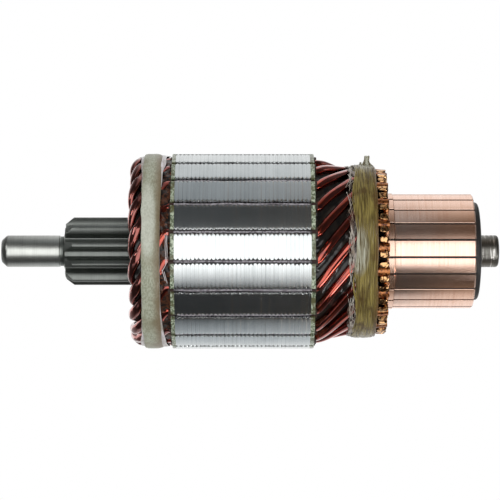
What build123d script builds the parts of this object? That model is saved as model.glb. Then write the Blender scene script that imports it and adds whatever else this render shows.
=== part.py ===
from build123d import *
from math import acos, asin, cos, degrees, hypot, pi, radians, sin, tan
import os

# Armature of a gear-reduction starter motor.
# X runs along the shaft, from the drive end to the commutator, and Z is up.
# The origin is on the axis, at the middle of the drive-end journal. Millimetres and degrees.

# Shaft
drive_journal_diameter = 9.5
drive_journal_length = 16.0
tip_chamfer_length = 1.6
tip_chamfer_depth = 1.3
relief_diameter = 8.9
relief_length = 1.0
shoulder_length = 0.75
shaft_body_diameter = 16.0
shaft_body_overhang = 3.0
commutator_seat_diameter = 13.0
rear_journal_diameter = 9.6
rear_journal_length = 6.55
rear_corner_length = 1.0
rear_corner_facet = 0.35
cut_allowance = 1.0
point_tolerance = 0.01

# Sun gear cut on the shaft
tooth_count = 10
gear_module = 1.7
pressure_angle = 20.0
gear_length = 20.0
gear_root_chamfer = 0.35
gear_end_chamfer_length = 2.4
gear_end_chamfer_depth = 1.9
first_tooth_angle = 25.1

# Winding
slot_count = 21
first_slot_angle = 14.5
coil_span = 5
outer_lead_sweep = 2.5
inner_lead_sweep = 3.5
conductor_width = 2.5
conductor_depth = 3.0
layer_gap = 0.64
hairpin_leg_length = 8.7
exit_length = 0.8
hairpin_depth = 2.4
hairpin_steps = 4
sweep_ease = 0.1

# Core and its end insulators
core_start = 43.0
core_length = 39.8
core_diameter = 58.6
slot_opening = 1.3
tooth_tip_thickness = 0.85
slot_head_clearance = 0.25
drive_insulator_thickness = 1.1
commutator_insulator_thickness = 1.2
insulator_inset = 0.05

# Slot liners
liner_thickness = 0.16
liner_clearance = 0.04
liner_cuff = 0.4

# Leads at the commutator end
lead_knee_distance = 9.2
lead_knee_drop = 3.1
lead_taper = 0.65
lead_steps = 4
lead_straight = 2.4

# Commutator
riser_distance = 18.4
riser_thickness = 3.2
riser_cover = 0.35
riser_clearance = 0.05
collar_diameter = 34.8
collar_length = 2.0
brush_track_diameter = 34.3
brush_track_length = 24.0
bar_gap = 0.55
bar_end_chamfer = 0.4
bar_lip_thickness = 2.15
dovetail_depth = 2.2
dovetail_spread = 0.9
dovetail_inset = 3.0
undercut = 0.7
web_root = 0.2
web_clearance = 0.01
moulding_overhang = 1.5
moulding_front = 1.5
moulding_edge = 0.7

# Bands, cord and layer sleeves
band_clearance = 0.08
drive_band_distance = 8.7
drive_band_width = 5.7
drive_band_thickness = 0.95
tape_distance = 9.9
tape_thickness = 0.35
cord_inset = 2.3
cord_thickness = 0.7
cord_crown = 0.25
cord_end_angle = 92.0
cord_end_offset = 1.4
cord_end_lean = 0.08
cord_end_height = 2.6
cord_end_diameter = 1.1
cord_end_taper = 8.0
sleeve_thickness = 0.12
sleeve_cover = 0.9

# Sizes that follow
slot_pitch = 360 / slot_count
core_radius = core_diameter / 2
core_end = core_start + core_length
drive_face = core_start - drive_insulator_thickness
commutator_face = core_end + commutator_insulator_thickness
slot_top = core_radius - tooth_tip_thickness
winding_radius = slot_top - slot_head_clearance
outer_layer_radius = winding_radius - conductor_depth / 2
layer_step = conductor_depth + layer_gap
inner_layer_radius = outer_layer_radius - layer_step
liner_play = liner_thickness + 2 * liner_clearance
slot_width = conductor_width + 2 * liner_play
slot_bottom = inner_layer_radius - conductor_depth / 2 - liner_play
drive_exit = drive_face - exit_length
commutator_exit = commutator_face + exit_length
turn_radius = layer_step / 2
turn_centre = drive_exit - hairpin_leg_length
riser_start = commutator_face + riser_distance
riser_end = riser_start + riser_thickness
drive_band_start = drive_face - drive_band_distance
tape_start = commutator_face + tape_distance
cord_start = tape_start + cord_inset
lead_straight_start = riser_start - lead_straight
knee = commutator_exit + lead_knee_distance
collar_end = riser_end + collar_length
track_end = collar_end + brush_track_length
moulding_end = track_end + moulding_overhang
shaft_end = moulding_end + rear_journal_length
track_radius = brush_track_diameter / 2
lip_radius = track_radius - bar_lip_thickness
journal_start = -drive_journal_length / 2
journal_end = drive_journal_length / 2
gear_start = journal_end + relief_length + shoulder_length
gear_end = gear_start + gear_length
gear_outer_radius = gear_module * (tooth_count + 2) / 2
gear_root_radius = gear_module * (tooth_count - 2.5) / 2
base_radius = gear_module * tooth_count / 2 * cos(radians(pressure_angle))

os.makedirs("parts", exist_ok=True)


def involute(radius):
    """Angle, in radians, that an involute of the gear's base circle has turned at a radius."""
    pressure = acos(base_radius / radius)
    return tan(pressure) - pressure


def flank_point(radius, side):
    """Point at a radius on one flank of the tooth that lies along the sketch's x axis."""
    pitch_radius = gear_module * tooth_count / 2
    angle = side * (pi / (2 * tooth_count) + involute(pitch_radius) - involute(radius))
    return (radius * cos(angle), radius * sin(angle))


# Shaft with its journals and its gear
gear_blank_radius = gear_outer_radius - gear_end_chamfer_depth
with BuildSketch() as tooth:
    with BuildLine():
        flank_radii = (base_radius, (base_radius + gear_outer_radius) / 2, gear_outer_radius)
        lower = ThreePointArc(*[flank_point(radius, -1) for radius in flank_radii])
        upper = ThreePointArc(*[flank_point(radius, 1) for radius in flank_radii])
        ThreePointArc(lower @ 1, (gear_outer_radius, 0), upper @ 1)
        Polyline(lower @ 0, (gear_root_radius / 2, 0), upper @ 0)
    make_face()

with BuildPart() as shaft:
    with BuildSketch(Plane.XY):
        with BuildLine():
            Polyline(
                (journal_start - tip_chamfer_length, 0),
                (journal_start - tip_chamfer_length, drive_journal_diameter / 2 - tip_chamfer_depth),
                (journal_start, drive_journal_diameter / 2),
                (journal_end, drive_journal_diameter / 2),
                (journal_end, relief_diameter / 2),
                (journal_end + relief_length, relief_diameter / 2),
                (gear_start, gear_root_radius),
                (gear_end, gear_root_radius),
                (gear_end, shaft_body_diameter / 2),
                (commutator_face + shaft_body_overhang, shaft_body_diameter / 2),
                (commutator_face + shaft_body_overhang, commutator_seat_diameter / 2),
                (moulding_end, commutator_seat_diameter / 2),
                (moulding_end, rear_journal_diameter / 2),
                (shaft_end - rear_corner_length, rear_journal_diameter / 2),
                (shaft_end - rear_corner_facet, rear_journal_diameter / 2 - rear_corner_facet),
                (shaft_end, rear_journal_diameter / 2 - rear_corner_length),
                (shaft_end, 0),
                close=True,
            )
        make_face()
    revolve(axis=Axis.X)
    with BuildSketch(Plane.YZ.offset(gear_start)):
        Circle(gear_root_radius)
        with PolarLocations(0, tooth_count, start_angle=first_tooth_angle):
            add(tooth.sketch)
        root_corners = [v for v in vertices() if abs(hypot(v.X, v.Y) - gear_root_radius) < point_tolerance]
        chamfer(root_corners, gear_root_chamfer)
    extrude(amount=gear_length)
    with BuildSketch(Plane.XY):
        with BuildLine():
            Polyline(
                (gear_start, gear_blank_radius),
                (gear_start, gear_outer_radius + cut_allowance),
                (gear_start + gear_end_chamfer_length, gear_outer_radius + cut_allowance),
                (gear_start + gear_end_chamfer_length, gear_outer_radius),
                close=True,
            )
        make_face()
    revolve(axis=Axis.X, mode=Mode.SUBTRACT)
shaft.part.label = "shaft"
export_step(shaft.part, "parts/shaft.step")


def slotted_disc(radius):
    """The face of a lamination: a disc with the shaft's bore and the slots, each with its narrow mouth."""
    mouth = radius + cut_allowance - slot_top
    with BuildSketch() as disc:
        Circle(radius)
        Circle(shaft_body_diameter / 2, mode=Mode.SUBTRACT)
        with PolarLocations((slot_bottom + slot_top) / 2, slot_count, start_angle=first_slot_angle):
            Rectangle(slot_top - slot_bottom, slot_width, mode=Mode.SUBTRACT)
        with PolarLocations(slot_top + mouth / 2, slot_count, start_angle=first_slot_angle):
            Rectangle(mouth, slot_opening, mode=Mode.SUBTRACT)
    return disc.sketch


# Laminated core
with BuildPart() as core_stack:
    with BuildSketch(Plane.YZ.offset(core_start)):
        add(slotted_disc(core_radius))
    extrude(amount=core_length)
core_stack.part.label = "core_stack"
export_step(core_stack.part, "parts/core_stack.step")

# Fibre insulators at the core's ends
with BuildPart() as drive_end_insulator:
    with BuildSketch(Plane.YZ.offset(drive_face)):
        add(slotted_disc(core_radius - insulator_inset))
    extrude(amount=drive_insulator_thickness)
drive_end_insulator.part.label = "drive_end_insulator"
export_step(drive_end_insulator.part, "parts/drive_end_insulator.step")

with BuildPart() as commutator_end_insulator:
    with BuildSketch(Plane.YZ.offset(core_end)):
        add(slotted_disc(core_radius - insulator_inset))
    extrude(amount=commutator_insulator_thickness)
commutator_end_insulator.part.label = "commutator_end_insulator"
export_step(commutator_end_insulator.part, "parts/commutator_end_insulator.step")

# Slot liners, each a folded paper channel that is open towards the slot's mouth
liner_width = slot_width - 2 * liner_clearance
liner_bottom = slot_bottom + liner_clearance
liner_height = slot_top - liner_clearance - liner_bottom
with BuildPart() as slot_liners:
    with BuildSketch(Plane.YZ.offset(drive_face - liner_cuff)):
        with PolarLocations(liner_bottom + liner_height / 2, slot_count, start_angle=first_slot_angle):
            Rectangle(liner_height, liner_width)
        inside = liner_bottom + liner_thickness + liner_height / 2
        with PolarLocations(inside, slot_count, start_angle=first_slot_angle):
            Rectangle(liner_height, liner_width - 2 * liner_thickness, mode=Mode.SUBTRACT)
    extrude(amount=commutator_face - drive_face + 2 * liner_cuff)
slot_liners.part.label = "slot_liners"
export_step(slot_liners.part, "parts/slot_liners.step")


# One coil: a single conductor from one riser through two slots to another riser
def under_leads(x, depth):
    """Radius of a surface that lies a depth under the leads' outside, measured square to it."""
    if x <= commutator_exit:
        return winding_radius - depth
    if x <= knee:
        share = (x - commutator_exit) / lead_knee_distance
        drop = lead_knee_drop * (1 - cos(pi * share)) / 2
        slope = lead_knee_drop * pi / 2 / lead_knee_distance * sin(pi * share)
        return winding_radius - drop - depth * hypot(1, slope)
    share = (x - knee) / (riser_end - knee)
    return winding_radius - lead_knee_drop - lead_taper * share - depth


def eased(share):
    """Share of a sweep that is done at a share of its run, with a gentle start and end."""
    if share < sweep_ease:
        done = share**2 / (2 * sweep_ease)
    elif share > 1 - sweep_ease:
        done = 1 - sweep_ease - (1 - share) ** 2 / (2 * sweep_ease)
    else:
        done = share - sweep_ease / 2
    return done / (1 - sweep_ease)


def sweep_shares(steps):
    """Shares of a run at which its places stand, with the first in the gentle start."""
    straight = 1 - 2 * sweep_ease
    middle = [sweep_ease + straight * step / steps for step in range(steps)]
    return [sweep_ease / 3, *middle, 1]


def lead_places(depth, start_angle, sweep):
    """Places along one lead, from the core's end to the outer face of its riser."""
    places = [(commutator_face, under_leads(commutator_face, depth), start_angle, conductor_depth)]
    for share in sweep_shares(lead_steps):
        x = commutator_exit + (lead_straight_start - commutator_exit) * share
        places.append((x, under_leads(x, depth), start_angle + sweep * eased(share), conductor_depth))
    places.append((riser_end, under_leads(riser_end, depth), start_angle + sweep, conductor_depth))
    return places


def hairpin_places():
    """Places round the bend at the drive end, from the outer layer's slot to the inner layer's."""
    bend_radius = turn_radius + (conductor_depth - hairpin_depth) / 2
    run = 2 * hairpin_leg_length + pi * turn_radius
    sweep = coil_span * slot_pitch
    leg_share = hairpin_leg_length / run
    shares = [sweep_ease / 3, sweep_ease, (sweep_ease + leg_share) / 2]
    outer = [(drive_face, outer_layer_radius, 0, conductor_depth)]
    inner = [(drive_face, inner_layer_radius, sweep, conductor_depth)]
    for share in shares:
        x = drive_exit - run * share
        outer.append((x, outer_layer_radius, sweep * eased(share), conductor_depth))
        inner.append((x, inner_layer_radius, sweep * eased(1 - share), conductor_depth))
    turn = []
    for step in range(hairpin_steps + 1):
        around = pi * step / hairpin_steps
        share = leg_share + turn_radius * around / run
        radius = (outer_layer_radius + inner_layer_radius) / 2 + bend_radius * cos(around)
        turn.append((turn_centre - bend_radius * sin(around), radius, sweep * eased(share), hairpin_depth))
    return outer + turn + list(reversed(inner))


def place_point(place):
    """The point in space of a place given as station, radius and angle."""
    x, radius, angle, depth = place
    return Vector(x, radius * cos(radians(angle)), radius * sin(radians(angle)))


def section_plane(before, place, after):
    """Plane square to the conductor at a place, with its x direction across the conductor's depth."""
    into = (place_point(place) - place_point(before)).normalized()
    out = (place_point(after) - place_point(place)).normalized()
    flat_in = Vector(place[0] - before[0], place[1] - before[1]).normalized()
    flat_out = Vector(after[0] - place[0], after[1] - place[1]).normalized()
    flat = flat_in + flat_out
    angle = radians(place[2])
    across = Vector(flat.Y, -flat.X * cos(angle), -flat.X * sin(angle))
    return Plane(origin=place_point(place), x_dir=across, z_dir=into + out)


def coil_places():
    """All places along one coil, from its outer lead's end to its inner lead's end."""
    outer = lead_places(conductor_depth / 2, 0, -outer_lead_sweep * slot_pitch)
    inner_depth = conductor_depth / 2 + layer_step
    inner = lead_places(inner_depth, coil_span * slot_pitch, inner_lead_sweep * slot_pitch)
    places = [*reversed(outer), *hairpin_places(), *inner]
    return [(x, radius, angle + first_slot_angle, depth) for x, radius, angle, depth in places]


def section_corners(before, place, after):
    """The four corners of the conductor's rectangular section at a place."""
    plane = section_plane(before, place, after)
    depth, width = place[3] / 2, conductor_width / 2
    corners = ((depth, width), (-depth, width), (-depth, -width), (depth, -width))
    return [plane.from_local_coords(Vector(*corner)) for corner in corners]


def side_facets(near, far):
    """Flat facets between two sections, two for each side of the conductor."""
    facets = []
    for side in range(4):
        following = (side + 1) % 4
        facets.append((near[side], near[following], far[following]))
        facets.append((near[side], far[following], far[side]))
    return facets


places = coil_places()
first_x, last_x = places[0][0] + cut_allowance, places[-1][0] + cut_allowance
extended = [(first_x, *places[0][1:]), *places, (last_x, *places[-1][1:])]
sections = [section_corners(*extended[index : index + 3]) for index in range(len(places))]
outlines = [sections[0], sections[-1]]
for near, far in zip(sections, sections[1:]):
    outlines.extend(side_facets(near, far))
with BuildPart() as first_coil:
    add(Solid(Shell([Face(Wire.make_polygon(outline)) for outline in outlines])))

for number in range(slot_count):
    with BuildPart() as coil:
        add(first_coil.part, rotation=(number * slot_pitch, 0, 0))
    coil.part.label = f"coil_{number + 1:02d}"
    export_step(coil.part, f"parts/coil_{number + 1:02d}.step")


# Commutator bars, each with a dovetail foot and a forked riser that takes two leads
foot_radius = lip_radius - dovetail_depth
foot_start = riser_start + dovetail_inset
foot_end = track_end - dovetail_inset
fork_bottom = under_leads(riser_end, conductor_depth + layer_step) - riser_clearance
riser_radius = under_leads(riser_end, 0) + riser_cover
bar_arc = slot_pitch - 2 * degrees(asin(bar_gap / 2 / track_radius))
first_bar_angle = first_slot_angle + slot_pitch / 2
with BuildPart() as first_bar:
    with BuildSketch(Plane.XY.rotated((first_bar_angle - bar_arc / 2, 0, 0))):
        with BuildLine():
            Polyline(
                (riser_start, lip_radius),
                (riser_start, riser_radius),
                (riser_end, riser_radius),
                (riser_end, collar_diameter / 2),
                (collar_end, collar_diameter / 2),
                (collar_end, track_radius),
                (track_end - bar_end_chamfer, track_radius),
                (track_end, track_radius - bar_end_chamfer),
                (track_end, lip_radius),
                (foot_end, lip_radius),
                (foot_end + dovetail_spread, foot_radius),
                (foot_start - dovetail_spread, foot_radius),
                (foot_start, lip_radius),
                close=True,
            )
        make_face()
    revolve(axis=Axis.X, revolution_arc=bar_arc)
    with BuildSketch(Plane.YZ.offset(riser_start)):
        with PolarLocations(fork_bottom + core_radius / 2, 1, start_angle=first_bar_angle):
            Rectangle(core_radius, conductor_width + 2 * riser_clearance)
    extrude(amount=riser_thickness, mode=Mode.SUBTRACT)

# Moulding that holds the bars on the shaft, with undercut webs between the bars
web_radius = track_radius - undercut
web_bottom = foot_radius - web_root
web_thickness = bar_gap * foot_radius / track_radius - 2 * web_clearance
with BuildPart() as commutator_moulding:
    with BuildSketch(Plane.XY):
        with BuildLine():
            Polyline(
                (riser_start - moulding_front, commutator_seat_diameter / 2),
                (riser_start - moulding_front, lip_radius),
                (foot_start, lip_radius),
                (foot_start - dovetail_spread, foot_radius),
                (foot_end + dovetail_spread, foot_radius),
                (foot_end, lip_radius),
                (moulding_end, lip_radius),
                (moulding_end, commutator_seat_diameter / 2),
                close=True,
            )
        make_face()
        outer_corner = vertices().group_by(Axis.X)[-1].sort_by(Axis.Y)[-1]
        chamfer(outer_corner, moulding_edge)
    revolve(axis=Axis.X)
    with BuildSketch(Plane.YZ.offset(riser_start)):
        with PolarLocations((web_bottom + web_radius) / 2, slot_count, start_angle=first_slot_angle):
            Rectangle(web_radius - web_bottom, web_thickness)
    extrude(amount=track_end - riser_start)
commutator_moulding.part.label = "commutator_moulding"
export_step(commutator_moulding.part, "parts/commutator_moulding.step")

for number in range(slot_count):
    with BuildPart() as commutator_bar:
        add(first_bar.part, rotation=(number * slot_pitch, 0, 0))
    commutator_bar.part.label = f"commutator_bar_{number + 1:02d}"
    export_step(commutator_bar.part, f"parts/commutator_bar_{number + 1:02d}.step")


# Bands and sleeves of the winding
def cover_points(stations, depth):
    """Points at the given stations, a depth under the leads' outside, or over it if the depth is negative."""
    return [(x, under_leads(x, depth)) for x in stations]


with BuildPart() as drive_end_band:
    with BuildSketch(Plane.YZ.offset(drive_band_start)):
        Circle(winding_radius + band_clearance + drive_band_thickness)
        Circle(winding_radius + band_clearance, mode=Mode.SUBTRACT)
    extrude(amount=drive_band_width)
drive_end_band.part.label = "drive_end_band"
export_step(drive_end_band.part, "parts/drive_end_band.step")

tape_end = riser_start - band_clearance
tape_top = -band_clearance - tape_thickness
with BuildPart() as commutator_end_band:
    with BuildSketch(Plane.XY):
        inside = cover_points((tape_start, tape_end), -band_clearance)
        outside = cover_points((tape_end, tape_start), tape_top)
        with BuildLine():
            Polyline(*inside, *outside, close=True)
        make_face()
    revolve(axis=Axis.X)
commutator_end_band.part.label = "commutator_end_band"
export_step(commutator_end_band.part, "parts/commutator_end_band.step")

# Cord wound over the tape, with its frayed end standing out
cord_middle = (cord_start + tape_end) / 2
crest = under_leads(cord_middle, tape_top - cord_thickness - cord_crown)
with BuildPart() as cord_wrap:
    with BuildSketch(Plane.XY):
        inside = cover_points((cord_start, tape_end), tape_top)
        start_top = (cord_start, under_leads(cord_start, tape_top - cord_thickness))
        end_top = (tape_end, under_leads(tape_end, tape_top - cord_thickness / 2))
        with BuildLine():
            Polyline(start_top, *inside, end_top)
            ThreePointArc(start_top, (cord_middle, crest), end_top)
        make_face()
    revolve(axis=Axis.X)
    outward = Vector(0, cos(radians(cord_end_angle)), sin(radians(cord_end_angle)))
    cord_end_root = Vector(cord_middle + cord_end_offset, 0, 0) + outward * (crest - cord_thickness)
    with BuildSketch(Plane(origin=cord_end_root, z_dir=outward + Vector(cord_end_lean, 0, 0))):
        RegularPolygon(cord_end_diameter / 2, 6)
    extrude(amount=cord_end_height + cord_thickness, taper=cord_end_taper)
cord_wrap.part.label = "cord_wrap"
export_step(cord_wrap.part, "parts/cord_wrap.step")

sleeve_radius = winding_radius - conductor_depth - layer_gap / 2
with BuildPart() as drive_end_sleeve:
    with BuildSketch(Plane.YZ.offset(turn_centre + sleeve_cover)):
        Circle(sleeve_radius + sleeve_thickness / 2)
        Circle(sleeve_radius - sleeve_thickness / 2, mode=Mode.SUBTRACT)
    extrude(amount=drive_face - liner_cuff - band_clearance - turn_centre - sleeve_cover)
drive_end_sleeve.part.label = "drive_end_sleeve"
export_step(drive_end_sleeve.part, "parts/drive_end_sleeve.step")

sleeve_xs = [place[0] for place in lead_places(0, 0, 0)][2:-1]
with BuildPart() as commutator_end_sleeve:
    middle = conductor_depth + layer_gap / 2
    with BuildSketch(Plane.XY):
        outside = cover_points(sleeve_xs, middle - sleeve_thickness / 2)
        inside = cover_points(sleeve_xs, middle + sleeve_thickness / 2)
        with BuildLine():
            Polyline(*outside, *reversed(inside), close=True)
        make_face()
    revolve(axis=Axis.X)
commutator_end_sleeve.part.label = "commutator_end_sleeve"
export_step(commutator_end_sleeve.part, "parts/commutator_end_sleeve.step")
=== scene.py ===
"""Looks of a motor armature: shaft, laminated core, enamelled winding, bands and commutator.

Shapes are worked out in millimetres, with X along the shaft from the drive end and Z up, and are written to
Blender's meshes in metres. An angle of a piece is measured about the shaft, from +Y towards +Z, in degrees.
"""

from __future__ import annotations

import logging
import math
from dataclasses import dataclass
from enum import Enum
from functools import cached_property
from typing import Any, Mapping, Sequence

import bmesh
import bpy
import numpy as np
from mathutils.geometry import tessellate_polygon
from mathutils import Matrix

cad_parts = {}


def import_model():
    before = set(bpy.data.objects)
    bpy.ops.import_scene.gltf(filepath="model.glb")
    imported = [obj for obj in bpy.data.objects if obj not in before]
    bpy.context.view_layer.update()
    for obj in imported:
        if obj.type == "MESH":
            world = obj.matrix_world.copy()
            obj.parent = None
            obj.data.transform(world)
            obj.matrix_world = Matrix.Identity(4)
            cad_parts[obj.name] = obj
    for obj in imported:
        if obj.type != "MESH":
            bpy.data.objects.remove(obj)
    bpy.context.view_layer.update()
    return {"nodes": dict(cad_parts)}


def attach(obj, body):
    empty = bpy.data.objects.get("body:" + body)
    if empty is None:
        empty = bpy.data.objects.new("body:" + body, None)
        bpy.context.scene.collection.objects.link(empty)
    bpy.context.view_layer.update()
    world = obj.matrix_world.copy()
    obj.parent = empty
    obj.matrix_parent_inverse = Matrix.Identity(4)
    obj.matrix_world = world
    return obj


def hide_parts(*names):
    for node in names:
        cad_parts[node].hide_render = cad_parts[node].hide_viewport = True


log = logging.getLogger("armature")
Array = np.ndarray
Colour = tuple[float, float, float]
Faces = list[tuple[int, ...]]
Material = bpy.types.Material
Socket = bpy.types.NodeSocket

MM = 0.001
RADIAN_DEGREES = 57.3
SLOT_COUNT = 21
SLOT_PITCH = 360 / SLOT_COUNT
FIRST_SLOT_ANGLE = 14.5
SHEETS = 33
CORE_START = 43.0
CORE_END = 82.8
DRIVE_FACE = 41.9
COMMUTATOR_FACE = 84.0
RISER_START = 102.4
RISER_END = 105.6


class Slot(Enum):
    """Names of the record's material slots, passed along with each new piece but not read."""

    SHAFT = "shaft_steel"
    CORE = "core_steel"
    PAPER = "slot_paper"
    ENAMEL = "enamelled_copper"
    COPPER = "commutator_copper"
    MOULDING = "phenolic"
    TAPE = "glass_tape"
    CORD = "glass_cord"


def tone(*screen: int) -> Colour:
    """Linear colour of a tone given as red, green and blue from 0 to 255, as it looks on a screen."""
    parts = (value / 255 for value in screen)
    return tuple(part / 12.92 if part <= 0.04045 else ((part + 0.055) / 1.055) ** 2.4 for part in parts)


class Field:
    """A number that varies over a surface, as the node socket that gives it."""

    def __init__(self, shader: Shader, socket: Socket) -> None:
        """Keeps the shader that owns the socket."""
        self.shader = shader
        self.socket = socket

    def _math(self, operation: str, *values: Field | float) -> Field:
        """Adds a Math node for one operation on one or two values."""
        return self.shader.field("ShaderNodeMath", {"operation": operation}, dict(enumerate(values)))

    def __add__(self, other: Field | float) -> Field:
        """The sum."""
        return self._math("ADD", self, other)

    def __sub__(self, other: Field | float) -> Field:
        """The difference."""
        return self._math("SUBTRACT", self, other)

    def __rsub__(self, other: float) -> Field:
        """The difference, from a plain number."""
        return self._math("SUBTRACT", other, self)

    def __mul__(self, other: Field | float) -> Field:
        """The product."""
        return self._math("MULTIPLY", self, other)

    def __pow__(self, other: float) -> Field:
        """The power."""
        return self._math("POWER", self, other)

    __radd__ = __add__
    __rmul__ = __mul__

    def sine(self) -> Field:
        """The sine of the value, taken in radians."""
        return self._math("SINE", self)

    def turn_from(self, level: Field) -> Field:
        """The angle in radians of a point that is this high, seen from the level place 0."""
        return self._math("ARCTAN2", self, level)

    def most(self, other: Field) -> Field:
        """The greater of two values."""
        return self._math("MAXIMUM", self, other)

    def between(self, low: float, high: float) -> Field:
        """Goes smoothly from 0 at one value to 1 at another, and stays there."""
        sockets = {"Value": self, "From Min": low, "From Max": high}
        return self.shader.field("ShaderNodeMapRange", {"interpolation_type": "SMOOTHSTEP"}, sockets)


class Shader:
    """The nodes of one material, or of the world."""

    def __init__(self, name: str, store: str = "materials") -> None:
        """Makes the material, or something with nodes in another of Blender's stores, such as a world."""
        self.owner = getattr(bpy.data, store).new(name)
        self.owner.use_nodes = True
        self.tree = self.owner.node_tree

    @cached_property
    def place(self) -> Socket:
        """The place of each point on the object, in metres."""
        return self.node("ShaderNodeTexCoord").outputs["Object"]

    def found(self, kind: str) -> bpy.types.Node:
        """The node of a kind that the tree had from the start."""
        return next(node for node in self.tree.nodes if node.type == kind)

    def node(self, kind: str, settings: Mapping[str, Any] = {},
             sockets: Mapping[Any, Any] = {}) -> bpy.types.Node:
        """Adds one node.

        Args:
            kind: Blender's name for the node's type.
            settings: Values of the node itself, set first; "stops" gives a ramp's positions and colours.
            sockets: Values or links of its input sockets, by name or number.

        Returns:
            The new node.
        """
        made = self.tree.nodes.new(kind)
        for name, value in settings.items():
            if name == "stops":
                elements = made.color_ramp.elements
                elements.remove(elements[1])
                elements[0].position, elements[0].color = value[0][0], (*value[0][1], 1)
                for position, colour in value[1:]:
                    elements.new(position).color = (*colour, 1)
            else:
                setattr(made, name, value)
        for name, value in sockets.items():
            self.give(made.inputs[name], value)
        return made

    def give(self, socket: Socket, value: Any) -> None:
        """Links a field or a socket to an input, or sets a plain value on it."""
        if isinstance(value, Field):
            value = value.socket
        if isinstance(value, Socket):
            self.tree.links.new(value, socket)
        elif isinstance(value, tuple) and socket.type == "RGBA":
            socket.default_value = (*value, 1)
        else:
            socket.default_value = value

    def field(self, kind: str, settings: Mapping[str, Any] = {}, sockets: Mapping[Any, Any] = {}) -> Field:
        """Adds one node, as node does, and returns its first output as a field."""
        return Field(self, self.node(kind, settings, sockets).outputs[0])

    def along(self, axis: int) -> Field:
        """The place along one axis, in millimetres."""
        parts = self.node("ShaderNodeSeparateXYZ", {}, {0: self.place})
        return Field(self, parts.outputs[axis]) * 1000

    def grain(self, along: float, round_: float = 0, detail: float = 2, distortion: float = 0) -> Field:
        """Noise from 0 to 1.

        Args:
            along: How fine it is along the shaft, in features per mm.
            round_: How fine it is the other ways, where that differs.
            detail: How many finer layers it has.
            distortion: How much it is stirred.

        Returns:
            The noise.
        """
        other = (round_ or along) / MM
        scale = (along / MM, other, other)
        place = self.node("ShaderNodeVectorMath", {"operation": "MULTIPLY"}, {0: self.place, 1: scale})
        sockets = {"Vector": place.outputs[0], "Scale": 1, "Detail": detail, "Distortion": distortion}
        return self.field("ShaderNodeTexNoise", {}, sockets)

    def mixed(self, share: Field, first: Any, second: Any) -> Socket:
        """A colour that goes from the first to the second with a share from 0 to 1."""
        sockets = {0: share, 6: first, 7: second}
        return self.node("ShaderNodeMix", {"data_type": "RGBA"}, sockets).outputs[2]

    def finish(self, bump: Field | None = None, bump_depth: float = 0.1, **sockets: Any) -> Material:
        """Sets the sockets of the material's own surface.

        Args:
            bump: Height of the surface, from 0 to 1.
            bump_depth: Depth in mm that a height of 1 stands for.
            sockets: Values or links by socket name, with _ for a space.

        Returns:
            The finished material.
        """
        surface = self.found("BSDF_PRINCIPLED")
        for name, value in sockets.items():
            self.give(surface.inputs[name.replace("_", " ").title().replace("Ior", "IOR")], value)
        if bump is not None:
            heights = {"Strength": 1.0, "Distance": bump_depth * MM, "Height": bump}
            self.give(surface.inputs["Normal"], self.node("ShaderNodeBump", {}, heights).outputs[0])
        return self.owner

    def show(self, kind: str, sockets: Mapping[Any, Any]) -> Material:
        """Shows the material by a new node in place of its own surface, and returns it."""
        shown = self.node(kind, {}, sockets)
        self.give(self.found("OUTPUT_MATERIAL").inputs["Surface"], shown.outputs[0])
        return self.owner


@dataclass(frozen=True)
class ShaftSteel:
    """Hardened steel: bright where it is ground for the front bush, dark on the gear, scuffed at the rear,
    with scratch marks that are worn and partly painted glints.
    """

    ground: Colour = tone(212, 214, 209)
    hardened: Colour = tone(132, 136, 132)
    scuffed: Colour = tone(126, 124, 118)
    # worn is the bright tone of the rear scratch marks: partly worn metal, partly a painted highlight
    # standing in for their glints
    worn: Colour = tone(226, 224, 218)
    chamfered: Colour = tone(138, 140, 136)
    grey: Colour = tone(70, 72, 70)
    tip_end: float = -7.8
    ground_end: float = 8.0
    gear_end: float = 30.5

    def material(self) -> Material:
        """Builds the three stretches with their turning marks."""
        shader = Shader("shaft_steel")
        station = shader.along(0)
        marks = shader.grain(3.0, 0.04, detail=3)
        patches = shader.grain(0.25, detail=3)
        gear = station.between(self.ground_end, self.ground_end + 0.3)
        rear = station.between(self.gear_end, self.gear_end + 1)
        tip = 1 - station.between(self.tip_end - 0.4, self.tip_end)
        # Rear scratch marks: real wear in roughness and bump, and painted glints in the bright worn colour
        scratches_and_glints = shader.grain(2.2, 0.1, detail=4).between(0.5, 0.6) * patches.between(0.36, 0.5)
        scuffs_and_glints = shader.mixed(scratches_and_glints, self.scuffed, self.worn)
        front = shader.mixed(tip, shader.mixed(gear, self.ground, self.hardened), self.chamfered)
        colour = shader.mixed(rear, front, scuffs_and_glints)
        greyed = (marks * 0.5 + patches * 0.6 - 0.3).between(0, 0.7) * 0.35
        rough = 0.26 + gear * 0.08 - rear * 0.02 + marks * 0.12 - scratches_and_glints * rear * 0.08
        return shader.finish(base_color=shader.mixed(greyed, colour, self.grey), metallic=1.0,
                             roughness=rough, bump=marks + scratches_and_glints * rear, bump_depth=0.008)


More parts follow.
